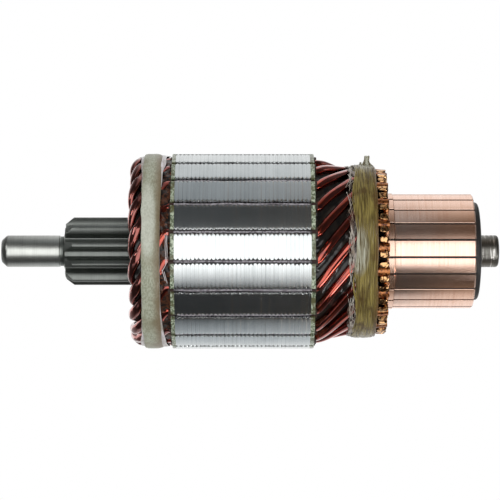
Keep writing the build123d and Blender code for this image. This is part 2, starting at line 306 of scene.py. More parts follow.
@dataclass(frozen=True)
class LaminatedSteel:
    """Turned steel sheets, with a thin dark joint between each two and the marks of the tool."""

    colour: Colour = tone(216, 220, 220)
    dull: Colour = tone(172, 178, 179)
    joint: Colour = tone(70, 72, 72)
    sheet: float = (CORE_END - CORE_START) / SHEETS
    roughness: float = 0.17

    def material(self) -> Material:
        """Builds the joints, which show most near the slots, and the tool's marks."""
        shader = Shader("core_steel")
        marks = shader.grain(3.4, 0.03, detail=4)
        coarse = shader.grain(0.83, 0.02)
        patches = shader.grain(0.15, detail=3)
        turn = 2 * math.pi / self.sheet
        sheets = (shader.along(0) * turn + (math.pi / 2 - CORE_START * turn)).sine()
        first = math.radians(FIRST_SLOT_ANGLE) * SLOT_COUNT
        slots = (shader.along(2).turn_from(shader.along(1)) * SLOT_COUNT + (math.pi / 2 - first)).sine()
        shown = 0.11 + slots.between(0.35, 1.0) * 0.4
        joints = sheets.between(0.78, 1.0) * shown * (marks * 1.8 + coarse * 0.6 - 0.2)
        worn = (marks * 0.4 + coarse * 0.25 + patches * 0.5 - 0.28).between(0, 1.0)
        turned = shader.mixed(worn, self.colour, self.dull)
        return shader.finish(base_color=shader.mixed(joints, turned, self.joint), metallic=1.0,
                             roughness=self.roughness + 0.1 * marks,
                             bump=marks - sheets.between(0.86, 1.0) * 0.8, bump_depth=0.0038)


@dataclass(frozen=True)
class BarCopper:
    """Copper of the commutator: burnt risers, unturned collar, brush track with turning marks."""

    track: Colour = tone(253, 219, 201)
    dull: Colour = tone(240, 196, 173)
    collar: Colour = tone(242, 206, 186)
    burnt: Colour = tone(224, 176, 124)
    soot: Colour = tone(66, 36, 22)
    riser_end: float = RISER_END + 0.1
    collar_end: float = 107.7

    def material(self) -> Material:
        """Builds the three stretches of the bars."""
        shader = Shader("commutator_copper")
        station = shader.along(0)
        marks = shader.grain(3.6, 0.03, detail=4)
        patches = shader.grain(0.2, detail=3)
        stains = shader.grain(0.9, detail=4)
        turned = shader.mixed((marks * 0.8 + patches * 0.6 - 0.45).between(0, 0.7), self.track, self.dull)
        outside = station.between(self.collar_end - 0.05, self.collar_end + 0.05)
        cast = shader.mixed(stains.between(0.4, 0.75) * 0.5, self.collar, self.dull)
        burns = shader.grain(1.2, detail=3).between(0.46, 0.59) * 0.9
        riser = shader.mixed(burns, self.burnt, self.soot)
        forked = station.between(self.riser_end, self.riser_end + 0.3)
        bars = shader.mixed(outside, cast, turned)
        rough = 0.17 - 0.02 * outside + 0.08 * marks + 0.06 * forked
        height = marks * outside + stains * (1 - forked) * 4
        return shader.finish(base_color=shader.mixed(forked, riser, bars), metallic=1.0, roughness=rough,
                             bump=height, bump_depth=0.006)


@dataclass(frozen=True)
class Enamel:
    """Red varnish over a copper conductor, bare where the lead lies in its riser."""

    colour: Colour = tone(180, 60, 28)
    deep: Colour = tone(130, 36, 20)
    # bent is a paler, duller copy of the same enamel for the nose bends: painted light, to tone down how the
    # lamp's patches look there
    bent: Colour = tone(128, 62, 52)
    bare: Colour = tone(190, 122, 72)
    soot: Colour = tone(74, 34, 18)
    bend_end: float = 33.5
    straight_from: float = 36.0
    bare_from: float = RISER_START - 0.2

    def material(self) -> Material:
        """Builds the varnish with its streaks, the painted light of the nose bends and the bare ends."""
        shader = Shader("red_enamel")
        streaks = shader.grain(0.3, detail=3)
        fine = shader.grain(3.0)
        # Painted light: the nose bends blend towards the paler copy of the enamel
        bend = 1 - shader.along(0).between(self.bend_end, self.straight_from)
        straight = shader.mixed(streaks.between(0.35, 0.7), self.colour, self.deep)
        varnish = shader.mixed(bend * 0.75, straight, self.bent)
        end = (shader.along(0) + fine * 0.6).between(self.bare_from, self.bare_from + 0.5)
        burns = shader.grain(1.2, detail=3).between(0.42, 0.64)
        copper = shader.mixed(burns, self.bare, self.soot)
        return shader.finish(base_color=shader.mixed(end, varnish, copper), metallic=1.0,
                             roughness=0.11 + 0.05 * streaks + 0.24 * end, coat_weight=1 - end * 0.7,
                             coat_roughness=0.02, coat_ior=1.7, bump=streaks + fine * 0.05, bump_depth=0.03)


@dataclass(frozen=True)
class Varnish:
    """Varnish that has run over sleeving and papers and set in lumps, glossy and unevenly thick."""

    name: str
    thick: Colour
    thin: Colour
    pale: Colour
    lumps: float = 0.35
    depth: float = 0.25
    coat: float = 1.0
    coat_ior: float = 1.8

    def material(self) -> Material:
        """Builds the thick and thin places and the lumps."""
        shader = Shader(self.name)
        lumps = shader.grain(self.lumps, detail=4, distortion=0.6)
        fine = shader.grain(1.6, detail=3)
        colour = shader.mixed(lumps.between(0.42, 0.66), self.thick, self.thin)
        speckled = shader.mixed(fine.between(0.62, 0.74) * 0.6, colour, self.pale)
        return shader.finish(base_color=speckled, roughness=0.6, specular_ior_level=0.2,
                             coat_weight=self.coat, coat_roughness=0.05, coat_ior=self.coat_ior,
                             bump=lumps + fine * 0.15, bump_depth=self.depth)


@dataclass(frozen=True)
class Fibre:
    """Resin-soaked glass or paper: threads that run round the shaft, with stains and pale flecks that are
    partly painted glints.
    """

    name: str
    colour: Colour
    light: Colour
    stain: Colour
    along: float = 2.5
    round_: float = 0.12
    stain_size: float = 0.16
    stain_share: float = 0.5
    roughness: float = 0.55
    coat: float = 0.3
    depth: float = 0.12
    spread: float = 0.2
    fade: tuple[float, float] | None = None
    faded: Colour = tone(112, 92, 62)
    # Pale ovals: whiter fibre on some tapes, and a painted highlight or painted light against shadow on
    # others
    pale_fibre_and_painted_light: Colour = tone(200, 203, 190)
    pale_oval_grain: float = 0.7
    pale_fibre_and_painted_light_ovals: tuple[tuple[float, float, float, float], ...] = ()
    patchy_end: float | None = None

    def material(self) -> Material:
        """Builds the threads, the stains, the pale flecks that are partly painted glints, and the bump.

        A fade stains the tape between two stations, each pale oval (station, height and half sizes) whitens
        the threads there, as pale fibre on some tapes and as painted light on others, and up to patchy_end
        the tape has see-through patches.
        """
        shader = Shader(self.name)
        threads = shader.grain(self.along, self.round_, detail=4, distortion=0.4)
        stains = shader.grain(self.stain_size, detail=4)
        # Pale flecks of fibre, smoother and painted lighter: partly real flecks, partly painted glints
        speckles_and_glints = shader.grain(2.2).between(0.66, 0.76)
        body = shader.mixed(threads.between(0.5 - self.spread, 0.5 + self.spread), self.colour, self.light)
        limit = 0.5 + (0.5 - self.stain_share) * 0.4
        stained = shader.mixed(stains.between(limit - 0.1, limit + 0.16), body, self.stain)
        colour = shader.mixed(speckles_and_glints * 0.5, stained, self.light)
        sockets: dict[str, Any] = {}
        if self.fade:
            faded = (shader.along(0) + stains * 1.4 - 0.7).between(*self.fade)
            colour = shader.mixed(faded * 0.85, colour, self.faded)
        for station, height, long, high in self.pale_fibre_and_painted_light_ovals:
            beside = (shader.along(0) - station) * (1 / long)
            above = (shader.along(2) - height) * (1 / high)
            near = 1 - (beside * beside + above * above).between(0.3, 1.5)
            share = near * (threads.between(0.36, 0.6) * self.pale_oval_grain + (0.75 - self.pale_oval_grain))
            colour = shader.mixed(share, colour, self.pale_fibre_and_painted_light)
        if self.patchy_end:
            open_part = 1 - shader.along(0).between(self.patchy_end - 1.2, self.patchy_end)
            gaps = shader.grain(0.5, 0.16, detail=3).between(0.42, 0.5)
            sockets["alpha"] = 1 - open_part * gaps * 0.9
        return shader.finish(base_color=colour, roughness=self.roughness - 0.2 * speckles_and_glints,
                             coat_weight=self.coat, coat_roughness=0.18, bump=threads + stains * 0.4,
                             bump_depth=self.depth, **sockets)


@dataclass(frozen=True)
class SlotPaper:
    """Paper in the slots: its own pale tone on the edges that stand in a slot's mouth, with painted shade
    where it lies deeper.
    """

    edge: Colour = tone(176, 172, 178)
    worn: Colour = tone(116, 110, 116)
    # deep is painted shade: paper lying down in a slot, where little light reaches
    deep: Colour = tone(38, 34, 34)
    outside: Colour = tone(58, 34, 24)
    painted_shade_radius: float = 28.5

    def material(self) -> Material:
        """Builds the painted shade of the deep part, the edges in the mouth and the outer parts of the paper.
        """
        shader = Shader("slot_paper")
        high, deep = shader.along(1), shader.along(2)
        radius = (high * high + deep * deep) ** 0.5
        above_painted_shade = radius.between(self.painted_shade_radius - 0.1, self.painted_shade_radius + 0.05)
        fibres = shader.grain(1.6, detail=3)
        edge = shader.mixed(fibres.between(0.4, 0.62), self.edge, self.worn)
        # Paper below the edges in the mouth takes the painted shade
        colour = shader.mixed(above_painted_shade, self.deep, edge)
        station = shader.along(0)
        before = 1 - station.between(CORE_START - 0.2, CORE_START)
        beyond = before + station.between(CORE_END, CORE_END + 0.2)
        return shader.finish(base_color=shader.mixed(beyond, colour, self.outside), roughness=0.6,
                             bump=fibres, bump_depth=0.05)


@dataclass(frozen=True)
class Moulded:
    """Dark moulded plastic."""

    name: str
    colour: Colour
    light: Colour
    roughness: float = 0.4

    def material(self) -> Material:
        """Builds the slightly uneven moulded surface."""
        shader = Shader(self.name)
        patches = shader.grain(0.4, detail=4)
        dust = shader.grain(4.0).between(0.62, 0.75)
        colour = shader.mixed(dust * 0.4 + patches * 0.15, self.colour, self.light)
        return shader.finish(base_color=colour, roughness=self.roughness + 0.15 * patches, bump=patches,
                             bump_depth=0.03)


def net_faces(rows: int, columns: int, closed_rows: bool = False, closed_columns: bool = True) -> Faces:
    """Four-sided faces of a net of points.

    Args:
        rows: Number of rows, one after the other.
        columns: Points in a row.
        closed_rows: Whether the last row joins the first.
        closed_columns: Whether the last point of a row joins its first.

    Returns:
        The faces, as point numbers.
    """
    steps = np.arange(rows - 1 + closed_rows), np.arange(columns - 1 + closed_columns)
    row, column = np.meshgrid(*steps, indexing="ij")
    after, beside = (row + 1) % rows, (column + 1) % columns
    square = (row, column), (row, beside), (after, beside), (after, column)
    corners = np.stack([line * columns + place for line, place in square], -1)
    return [tuple(face) for face in corners.reshape(-1, 4).tolist()]


def filled(*loops: Array) -> Faces:
    """Triangles that fill flat loops of points, as point numbers."""
    flat = [[(float(across), float(high), 0.0) for across, high in loop] for loop in loops]
    return [tuple(corner) for corner in tessellate_polygon(flat)]


def shifted(faces: Faces, by: int) -> Faces:
    """Faces whose point numbers are higher by a number."""
    return [tuple(index + by for index in face) for face in faces]


def table(*columns: Array | float) -> Array:
    """Numbers side by side along a new last axis, from arrays of any shapes that fit each other."""
    return np.stack(np.broadcast_arrays(*columns), -1)


def polar(x: Array | float, radius: Array, angle: Array) -> Array:
    """Points from stations, radii and angles in degrees."""
    turned = np.radians(angle)
    return table(x, radius * np.cos(turned), radius * np.sin(turned))


def whole_turn(count: int) -> Array:
    """A column of angles in degrees, evenly round the shaft."""
    return np.arange(count)[:, None] * 360 / count


def unit(vectors: Array) -> Array:
    """Vectors brought to the length 1."""
    return vectors / np.linalg.norm(vectors, axis=-1, keepdims=True)


def squared_circle(turn: Array, power: Array | float) -> list[Array]:
    """Both coordinates of a circle's points, squarer the lower the power is."""
    return [np.sign(part) * np.abs(part) ** power for part in (np.cos(turn), np.sin(turn))]


def linked(name: str, data: Any) -> bpy.types.Object:
    """Makes an object of a mesh, a camera or a lamp and puts it in the scene."""
    made = bpy.data.objects.new(name, data)
    bpy.context.scene.collection.objects.link(made)
    return made


def smooth_mesh(name: str, points: Array, faces: Faces, finish: Material) -> bpy.types.Mesh:
    """Makes a mesh of points in metres, shaded smooth."""
    mesh = bpy.data.meshes.new(name)
    mesh.from_pydata(points.reshape(-1, 3).tolist(), [], faces)
    mesh.polygons.foreach_set("use_smooth", [True] * len(mesh.polygons))
    mesh.materials.append(finish)
    return mesh


class Ripple:
    """Smooth seeded unevenness over a station in mm and an angle in degrees, with no seam in a turn."""

    def __init__(self, seed: int, waves: int = 10, round_: int = 9, along: float = 1.5) -> None:
        """Draws the waves.

        Args:
            seed: Seed of the draw.
            waves: Number of waves that are added up.
            round_: Most waves in one turn.
            along: Most radians for each mm along the shaft.
        """
        draw = np.random.default_rng(seed)
        self.turns = draw.integers(-round_, round_ + 1, waves)
        self.rates = draw.uniform(-along, along, waves)
        self.starts = draw.uniform(0, 2 * math.pi, waves)
        self.sizes = draw.uniform(0.4, 1, waves) / math.sqrt(waves / 2)

    def at(self, x: Array | float, angle: Array | float) -> Array:
        """The unevenness, about from -1 to 1."""
        x, angle = np.broadcast_arrays(np.asarray(x, float), np.radians(angle))
        waves = np.sin(angle[..., None] * self.turns + x[..., None] * self.rates + self.starts)
        return (waves * self.sizes).sum(-1)


def uneven_ring(loop: Array, angles: Array, lift: float, lumps: Ripple, wander: Array | float = 0.0) -> Array:
    """Net of a closed profile turned about the shaft.

    Args:
        loop: Stations and radii of the closed profile.
        angles: Angles of the net's rows, as a column.
        lift: How far the outside goes outward and inward.
        lumps: The unevenness of the outside.
        wander: How far the points go along the shaft.

    Returns:
        The net, one row for each angle.
    """
    outside = (loop[:, 1] > loop[:, 1].mean()).astype(float)
    radius = loop[None, :, 1] + lift * outside * lumps.at(loop[None, :, 0], angles)
    return polar(loop[None, :, 0] + wander, radius, angles)


class Shape:
    """Points and faces of one piece, in mm, which may be several closed shells."""

    def __init__(self) -> None:
        """Starts empty."""
        self.points: list[Array] = []
        self.faces: Faces = []
        self.count = 0

    def add(self, points: Array, faces: Faces) -> int:
        """Adds points, and faces that number them from 0.

        Returns:
            The number that the first of these points has in the whole shape.
        """
        first = self.count
        self.points.append(points.reshape(-1, 3))
        self.faces += shifted(faces, first)
        self.count += len(self.points[-1])
        return first

    def tube(self, net: Array) -> Shape:
        """Adds a net of closed rows with a flat face at each end."""
        rows, columns = net.shape[:2]
        ends = [tuple(range(columns)), tuple(range((rows - 1) * columns, rows * columns))]
        self.add(net, net_faces(rows, columns) + ends)
        return self

    def ring(self, net: Array) -> Shape:
        """Adds a net of closed rows whose last row joins the first."""
        self.add(net, net_faces(*net.shape[:2], closed_rows=True))
        return self

    def make(self, name: str, finish: Material, slot: Slot, *nodes: str, sharp: float = 40) -> None:
        """Makes the Blender piece and lets it stand for its CAD nodes.

        Args:
            name: Name of the piece.
            finish: Its material.
            slot: The record's slot that the finish belongs to; not used.
            nodes: The CAD nodes that it replaces.
            sharp: Angle in degrees from which an edge stays sharp.
        """
        mesh = smooth_mesh(name, np.concatenate(self.points) * MM, self.faces, finish)
        work = bmesh.new()
        work.from_mesh(mesh)
        bmesh.ops.recalc_face_normals(work, faces=work.faces)
        work.to_mesh(mesh)
        work.free()
        mesh.set_sharp_from_angle(angle=math.radians(sharp))
        piece = linked(name, mesh)
        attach(piece, "root")
        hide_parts(*nodes)
        log.info("%s: %d faces", name, len(self.faces))


@dataclass
class Shaft:
    """The shaft: a turned profile with the gear's teeth cut on it."""

    profile: tuple[tuple[float, float], ...] = (
        (-9.6, 0.02), (-9.6, 3.2), (-9.45, 3.45), (-8.15, 4.6), (-7.9, 4.72), (-7.6, 4.75), (7.8, 4.75),
        (8.0, 4.6), (8.05, 4.45), (8.95, 4.45), (9.05, 4.6), (9.7, 6.3), (9.75, 6.37), (29.75, 6.37),
        (29.75, 7.9), (29.85, 8.0), (86.9, 8.0), (87.0, 7.9), (87.0, 6.5), (133.05, 6.5), (133.1, 6.4),
        (133.1, 4.9), (133.2, 4.8), (138.6, 4.8), (138.95, 4.74), (139.25, 4.6), (139.47, 4.38),
        (139.6, 4.05), (139.65, 3.7), (139.65, 0.02))
    teeth: int = 10
    module: float = 1.7
    pressure_angle: float = 20.0
    first_tooth: float = 25.1
    gear_start: float = 9.75
    gear_end: float = 29.75
    chamfer_length: float = 2.4
    chamfer_depth: float = 1.9
    segments: int = 144

    def tooth_line(self) -> tuple[Array, Array]:
        """Radii and angles in degrees along one tooth, from the middle of one gap to the next."""
        pitch_radius = self.module * self.teeth / 2
        base = pitch_radius * math.cos(math.radians(self.pressure_angle))
        root, tip = self.module * (self.teeth - 2.5) / 2, self.module * (self.teeth + 2) / 2

        def turned(radius: Array | float) -> Array:
            """Angle in radians that the involute has turned at a radius."""
            pressure = np.arccos(base / np.asarray(radius))
            return np.tan(pressure) - pressure

        radii = np.append(np.linspace(base, tip - 0.36, 6), tip - 0.22)
        flank = np.degrees(math.pi / (2 * self.teeth) + turned(pitch_radius) - turned(radii))
        foot = flank[0]
        fillet_radii = np.array([root, root + 0.04, root + 0.16, root + 0.4])
        fillet_angles = foot + np.array([3.4, 2.2, 0.9, 0.15])
        round_radii = tip - np.array([0.1, 0.03, 0])
        round_angles = flank[-1] - np.array([0.3, 0.8, 1.5])
        radius = np.concatenate((fillet_radii, radii, round_radii, [tip], round_radii[::-1]))
        angle = np.concatenate((fillet_angles, flank, round_angles, [0], -round_angles[::-1]))
        return (np.concatenate((radius, radii[::-1], fillet_radii[::-1], [root])),
                np.concatenate((angle, -flank[::-1], -fillet_angles[::-1], [-180 / self.teeth])))

    def build(self, finish: Material) -> None:
        """Builds the turned body and the toothed stretch."""
        shape = Shape()
        stations = np.array(self.profile)
        shape.tube(polar(stations[:, :1], stations[:, 1:], whole_turn(self.segments).T))
        radius, angle = self.tooth_line()
        angles = (self.first_tooth + whole_turn(self.teeth) + angle[::-1]).reshape(-1)
        radii = np.tile(radius[::-1], self.teeth)
        tip = self.module * (self.teeth + 2) / 2
        cut_end = self.gear_start + self.chamfer_length
        xs = np.concatenate((np.linspace(self.gear_start, cut_end, 7),
                             np.linspace(self.gear_start + 3.5, self.gear_end - 0.3, 5), [self.gear_end]))
        limit = np.interp(xs, (self.gear_start, cut_end), (tip - self.chamfer_depth, tip))
        limit[-1] = tip - 0.3
        shape.tube(polar(xs[:, None], np.minimum(radii, limit[:, None]), angles))
        shape.make("shaft_ground", finish, Slot.SHAFT, "shaft", sharp=28)


@dataclass
class Core:
    """The stack of laminations, each of whose teeth is a little off its neighbours."""

    radius: float = 29.3
    bore: float = 8.0
    bore_segments: int = 72
    shares: tuple[float, ...] = (0.03, 0.2, 0.5, 0.8, 0.97)
    edges: tuple[float, ...] = (1.0, 0.3, 0.0, 0.3, 1.0)
    slot_top: float = 28.45
    slot_bottom: float = 21.32
    slot_half: float = 1.49
    mouth_half: float = 0.52
    notch: float = 0.4
    flatness: float = 0.55
    sag: float = 0.08
    slip: float = 0.04
    step: float = 0.004
    tooth_radius: float = 28.0
    wear_drop: float = 0.02
    burr_drop: float = 0.2
    burrs: tuple[float, float] = (0.6, 1.0)
    seed: int = 4

    def section(self) -> tuple[Array, Array, Array]:
        """One pitch of a lamination's outline, from the middle of one slot's mouth to the next.

        Returns:
            Radii, angles in degrees from the slot's middle, and how much of the wear each point takes.
        """
        edge = math.degrees(self.mouth_half / self.radius)
        across = np.array([0, 0.35, 0.9, 1.8, 3.4, 5.3, 7.3])
        half = SLOT_PITCH / 2 - edge
        top_angle = edge + np.concatenate((across, 2 * half - across[-2::-1]))
        top_angle[6] = SLOT_PITCH / 2
        beta = np.radians(top_angle - SLOT_PITCH / 2)
        top = (self.radius - self.sag) * (1 + self.flatness * (1 / np.cos(beta) - 1))
        corner = (1.0, 0.55, 0.2, 0.05, 0, 0)
        depths = np.array([self.slot_bottom, self.slot_top, self.slot_top])
        halves = [math.asin(self.slot_half / self.slot_bottom), math.asin(self.slot_half / self.slot_top)]
        sides = np.degrees([*halves, self.mouth_half / self.slot_top])
        radii = np.concatenate((depths, top, depths[::-1]))
        angles = np.concatenate((sides, top_angle, SLOT_PITCH - sides[::-1]))
        return radii, angles, np.array([0, 0, 0.6, *corner, 0, *corner[::-1], 0.6, 0, 0])

    def build(self, finish: Material) -> None:
        """Builds the stack, its two end faces and its bore."""
        draw = np.random.default_rng(self.seed)
        radii, angles, wear = self.section()
        count = len(radii)
        base_angle = (FIRST_SLOT_ANGLE + whole_turn(SLOT_COUNT) + angles).reshape(-1)
        base_radius, base_wear, side = (np.tile(part, SLOT_COUNT)
                                        for part in (radii, wear, np.sign(SLOT_PITCH / 2 - angles)))
        thickness = (CORE_END - CORE_START) / SHEETS
        rows_x, rows_r, rows_a = [], [], []
        for sheet in range(SHEETS):
            shift = np.repeat(draw.normal(0, self.slip, SLOT_COUNT), count) / self.radius * RADIAN_DEGREES
            lift = np.repeat(draw.normal(0, self.step, SLOT_COUNT), count) * (base_radius > self.tooth_radius)
            burr = np.repeat(draw.uniform(*self.burrs, SLOT_COUNT), count)
            for share, edge in zip(self.shares, self.edges):
                drop = base_wear * (self.wear_drop + self.burr_drop * edge * burr)
                spread = side * base_wear * self.notch * edge * burr / self.radius * RADIAN_DEGREES
                rows_x.append(CORE_START + (sheet + share) * thickness)
                rows_r.append(base_radius + lift - drop)
                rows_a.append(base_angle + shift * (base_wear > 0) + spread)
        rows_x[0], rows_x[-1] = CORE_START, CORE_END
        net = polar(np.array(rows_x)[:, None], np.array(rows_r), np.array(rows_a))
        ends = np.array([[CORE_START], [CORE_END]])
        bore = polar(ends, np.array(self.bore), whole_turn(self.bore_segments).T)
        shape = Shape()
        shape.add(net, net_faces(*net.shape[:2]))
        first_bore = shape.add(bore, net_faces(2, self.bore_segments))
        for row, bore_row in ((0, 0), (len(net) - 1, 1)):
            starts = ((row * net.shape[1], net.shape[1]),
                      (first_bore + bore_row * self.bore_segments, self.bore_segments))
            numbers = [number for start, length in starts for number in range(start, start + length)]
            shape.faces += [tuple(numbers[index] for index in corner)
                            for corner in filled(net[row][:, 1:], bore[bore_row][:, 1:])]
        shape.make("core_laminations", finish, Slot.CORE, "core_stack", sharp=50)


@dataclass
class Liners:
    """Folded paper in the slots, whose free edges stand side by side in each slot's mouth."""

    half_width: float = 1.37
    bottom: float = 21.44
    top: float = 28.36
    lip: float = 0.26
    lip_top: float = 28.8
    sheet: float = 0.16
    cuff: float = 0.55
    end_wave: float = 0.25
    lip_wave: float = 0.12
    lip_lean: float = 0.05
    rows: int = 24
    fold_steps: int = 19
    fold_bottom: float = 27.4
    folds: tuple[tuple[tuple[float, float], tuple[float, float], float], ...] = (
        ((169, 186.5), (41.0, 41.05), 28.85), ((186, 191.6), (41.05, 39.6), 28.8),
        ((191, 197.5), (39.6, 40.5), 28.75), ((192, 199), (40.2, 41.1), 28.6),
        ((170, 188), (40.45, 40.6), 28.35))

    def build(self, finish: Material) -> None:
        """Builds two folded sheets for each slot as one piece."""
        shape = Shape()
        middle = [(0.01, self.bottom), (self.half_width, self.bottom), (self.half_width, self.top),
                  (self.lip, self.top), (self.lip, self.lip_top)]
        inner_half, inner_top = self.half_width - self.sheet, self.top - self.sheet
        inner = [(0.01, self.lip_top - 0.08), (0.01, inner_top), (inner_half, inner_top),
                 (inner_half, self.bottom + self.sheet), (0.01, self.bottom + self.sheet)]
        outline = np.array(middle + inner)
        xs = np.linspace(DRIVE_FACE - self.cuff, COMMUTATOR_FACE + self.cuff, self.rows)
        for slot in range(SLOT_COUNT):
            for side in (-1, 1):
                wave = Ripple(slot * 2 + (side > 0), along=0.5)
                ends = xs[[0, -1]] + wave.at(np.array([0.0, 40.0]), slot * 9.0) * self.end_wave
                stations = np.interp(xs, xs[[0, -1]], ends)
                across = np.tile(outline[:, 0] * side, (self.rows, 1))
                high = np.tile(outline[:, 1], (self.rows, 1))
                lips = high > self.top + 0.01
                inside = np.clip(np.minimum(stations - CORE_START, CORE_END - stations) / 0.4 + 0.3, 0, 1)
                height = wave.at(stations, 0.0) * self.lip_wave - (self.lip_top - self.top) * (1 - inside)
                high = high + lips * height[:, None]
                bend = (wave.at(stations, 90) * self.lip_lean)[:, None]
                across = across + (across * side < self.lip + 0.01) * lips * bend
                angle = FIRST_SLOT_ANGLE + slot * SLOT_PITCH + np.degrees(np.arctan2(across, high))
                shape.tube(polar(stations[:, None], np.hypot(across, high), angle))
        shape.make("slot_papers", finish, Slot.PAPER, "slot_liners")

    def folded_edge(self, finish: Material) -> None:
        """Builds the edge of a loose paper that stands up in the gap by the drive-end tape."""
        shape = Shape()
        for turns, stations, high in self.folds:
            angles = np.linspace(*turns, self.fold_steps)
            wave = Ripple(int(turns[0]), along=0.5)
            middle = np.linspace(*stations, self.fold_steps) + 0.05 * wave.at(0, angles * 6)
            top = high + 0.06 * wave.at(9, angles * 5)
            low, thin = np.full(self.fold_steps, self.fold_bottom), self.sheet * 0.45
            corners = ((middle - thin, low), (middle + thin, low), (middle + thin, top), (middle - thin, top))
            shape.tube(np.stack([polar(x, radius, angles) for x, radius in corners], 1))
        shape.make("folded_paper", finish, Slot.PAPER, "slot_liners")


@dataclass
class Winding:
    """Twenty-one hairpins of flat enamelled conductor, each with two leads."""

    width: float = 2.72
    depth: float = 3.0
    layer_step: float = 3.64
    outer_radius: float = 26.7
    top: float = 27.75
    span: int = 5
    outer_sweep: float = 2.5
    inner_sweep: float = 3.5
    exit: float = 0.8
    lead_exit: float = 0.1
    leg: float = 8.7
    nose_depth: float = 2.4
    knee_distance: float = 9.9
    knee_drop: float = 2.35
    knee_even: float = 0.25
    taper: float = 0.9
    straight: float = 2.4
    ease: float = 0.07
    corner: float = 2.7
    nose_corner: float = 2.1
    nose_swell: float = 0.2
    reaches: tuple[float, float] = (-0.55, -0.15)
    lead_waver: float = 0.55
    nose_waver: float = 0.5
    lead_rise: float = 0.08
    layer_parting: float = 21.0
    lead_steps: int = 56
    riser_steps: int = 8
    leg_steps: int = 22
    nose_steps: int = 19
    around: int = 20
    seed: int = 11

    def lead_radius(self, x: Array, depth: float) -> Array:
        """Radius that lies a depth under the leads' outside, measured square to it."""
        start = COMMUTATOR_FACE + self.lead_exit
        share = np.clip((x - start) / self.knee_distance, 0, 1)
        even, bowed = self.knee_even, 1 - self.knee_even
        drop = self.knee_drop * (even * share + bowed * (1 - np.cos(math.pi * share)) / 2)
        slope = self.knee_drop / self.knee_distance * (even + bowed * math.pi / 2 * np.sin(math.pi * share))
        knee = start + self.knee_distance
        late = np.clip((x - knee) / (RISER_END - knee), 0, 1)
        return self.top - drop - self.taper * late - depth * np.hypot(1, slope)

    def eased(self, share: Array) -> Array:
        """Share of a sweep that is done at a share of its run, with a gentle start and end."""
        share = np.clip(share, 0, 1)
        early = share**2 / (2 * self.ease)
        late = 1 - self.ease - (1 - share) ** 2 / (2 * self.ease)
        middle = np.where(share > 1 - self.ease, late, share - self.ease / 2)
        return np.where(share < self.ease, early, middle) / (1 - self.ease)

    def swept(self, x: Array) -> Array:
        """Share of its sweep that a lead has made at a station."""
        start = COMMUTATOR_FACE + self.lead_exit
        return self.eased((x - start) / (RISER_START - self.straight - start))

    def lead(self, depth: float, start_angle: float, sweep: float) -> Array:
        """Stations, radii and angles along one lead, from the core's face to the riser's outer face."""
        free = np.linspace(COMMUTATOR_FACE - 1, RISER_START - 0.5, self.lead_steps)
        x = np.concatenate((free, np.linspace(RISER_START, RISER_END, self.riser_steps)))
        return table(x, self.lead_radius(x, depth), start_angle + sweep * self.swept(x))

    def outer_angle(self, x: Array) -> Array:
        """Angle of the first coil's outer lead at a station."""
        return FIRST_SLOT_ANGLE - self.outer_sweep * SLOT_PITCH * self.swept(x)

    def hairpin(self, reach: float) -> Array:
        """Stations, radii and angles round the drive-end bend, from the outer to the inner layer."""
        bend = self.layer_step / 2
        exit_x, leg = DRIVE_FACE - self.exit, self.leg + reach
        run = 2 * leg + math.pi * bend
        sweep = self.span * SLOT_PITCH
        inner_radius = self.outer_radius - self.layer_step
        shares = np.linspace(0, leg / run, self.leg_steps)[:-1]
        legs = exit_x - run * shares
        outer = table(legs, self.outer_radius, sweep * self.eased(shares))
        inner = table(legs, inner_radius, sweep * self.eased(1 - shares))[::-1]
        turn = np.linspace(0, math.pi, self.nose_steps)
        wide = bend + (self.depth - self.nose_depth) / 2
        share = leg / run + bend * turn / run
        nose = table(exit_x - leg - wide * np.sin(turn), self.outer_radius - bend + wide * np.cos(turn),
                     sweep * self.eased(share))
        ends = np.array([(DRIVE_FACE + 1, self.outer_radius, 0), (DRIVE_FACE + 1, inner_radius, sweep)])
        return np.concatenate((ends[:1], outer, nose, inner, ends[1:]))

    def path(self, reach: float) -> Array:
        """Stations, radii and angles along a coil, from its outer lead's end to its inner lead's end."""
        outer = self.lead(self.depth / 2, 0, -self.outer_sweep * SLOT_PITCH)[::-1]
        inner_depth = self.depth / 2 + self.layer_step
        inner = self.lead(inner_depth, self.span * SLOT_PITCH, self.inner_sweep * SLOT_PITCH)
        return np.concatenate((outer, self.hairpin(reach), inner))

    def net(self, number: int, draw: np.random.Generator) -> Array:
        """Surface points of one coil, row by row along its path."""
        x, radius, angle = self.path(float(draw.uniform(*self.reaches))).T
        angle = angle + FIRST_SLOT_ANGLE + number * SLOT_PITCH
        free = np.clip((x - COMMUTATOR_FACE - 1.5) / 3, 0, 1) * np.clip((RISER_START - 1 - x) / 3, 0, 1)
        nose = np.clip((DRIVE_FACE - 3 - x) / 5, 0, 1)
        wave = Ripple(int(draw.integers(1000)), round_=3, along=0.35)
        angle = angle + wave.at(x, 0) * free * self.lead_waver + wave.at(x, 40) * nose * self.nose_waver
        radius = radius + wave.at(x, 90) * free * self.lead_rise * (radius > self.layer_parting)
        points = polar(x, radius, angle)
        along = unit(np.gradient(points, axis=0))
        flat = unit(table(np.gradient(x), np.gradient(radius)))
        turned = np.radians(angle)
        out = table(flat[:, 1], -flat[:, 0] * np.cos(turned), -flat[:, 0] * np.sin(turned))
        across = unit(np.cross(along, out))
        out = np.cross(across, along)
        around = np.linspace(0, 2 * math.pi, self.around, endpoint=False)
        bent = np.clip((DRIVE_FACE - self.exit - self.leg + 2 - x) / 2.5, 0, 1)[:, None]
        deep, wide = squared_circle(around, 2 / (self.corner + (self.nose_corner - self.corner) * bent))
        deep *= (self.depth + (self.nose_depth - self.depth) * bent) / 2
        wide *= self.width / 2 * (1 + self.nose_swell * bent)
        return points[:, None] + out[:, None] * deep[..., None] + across[:, None] * wide[..., None]

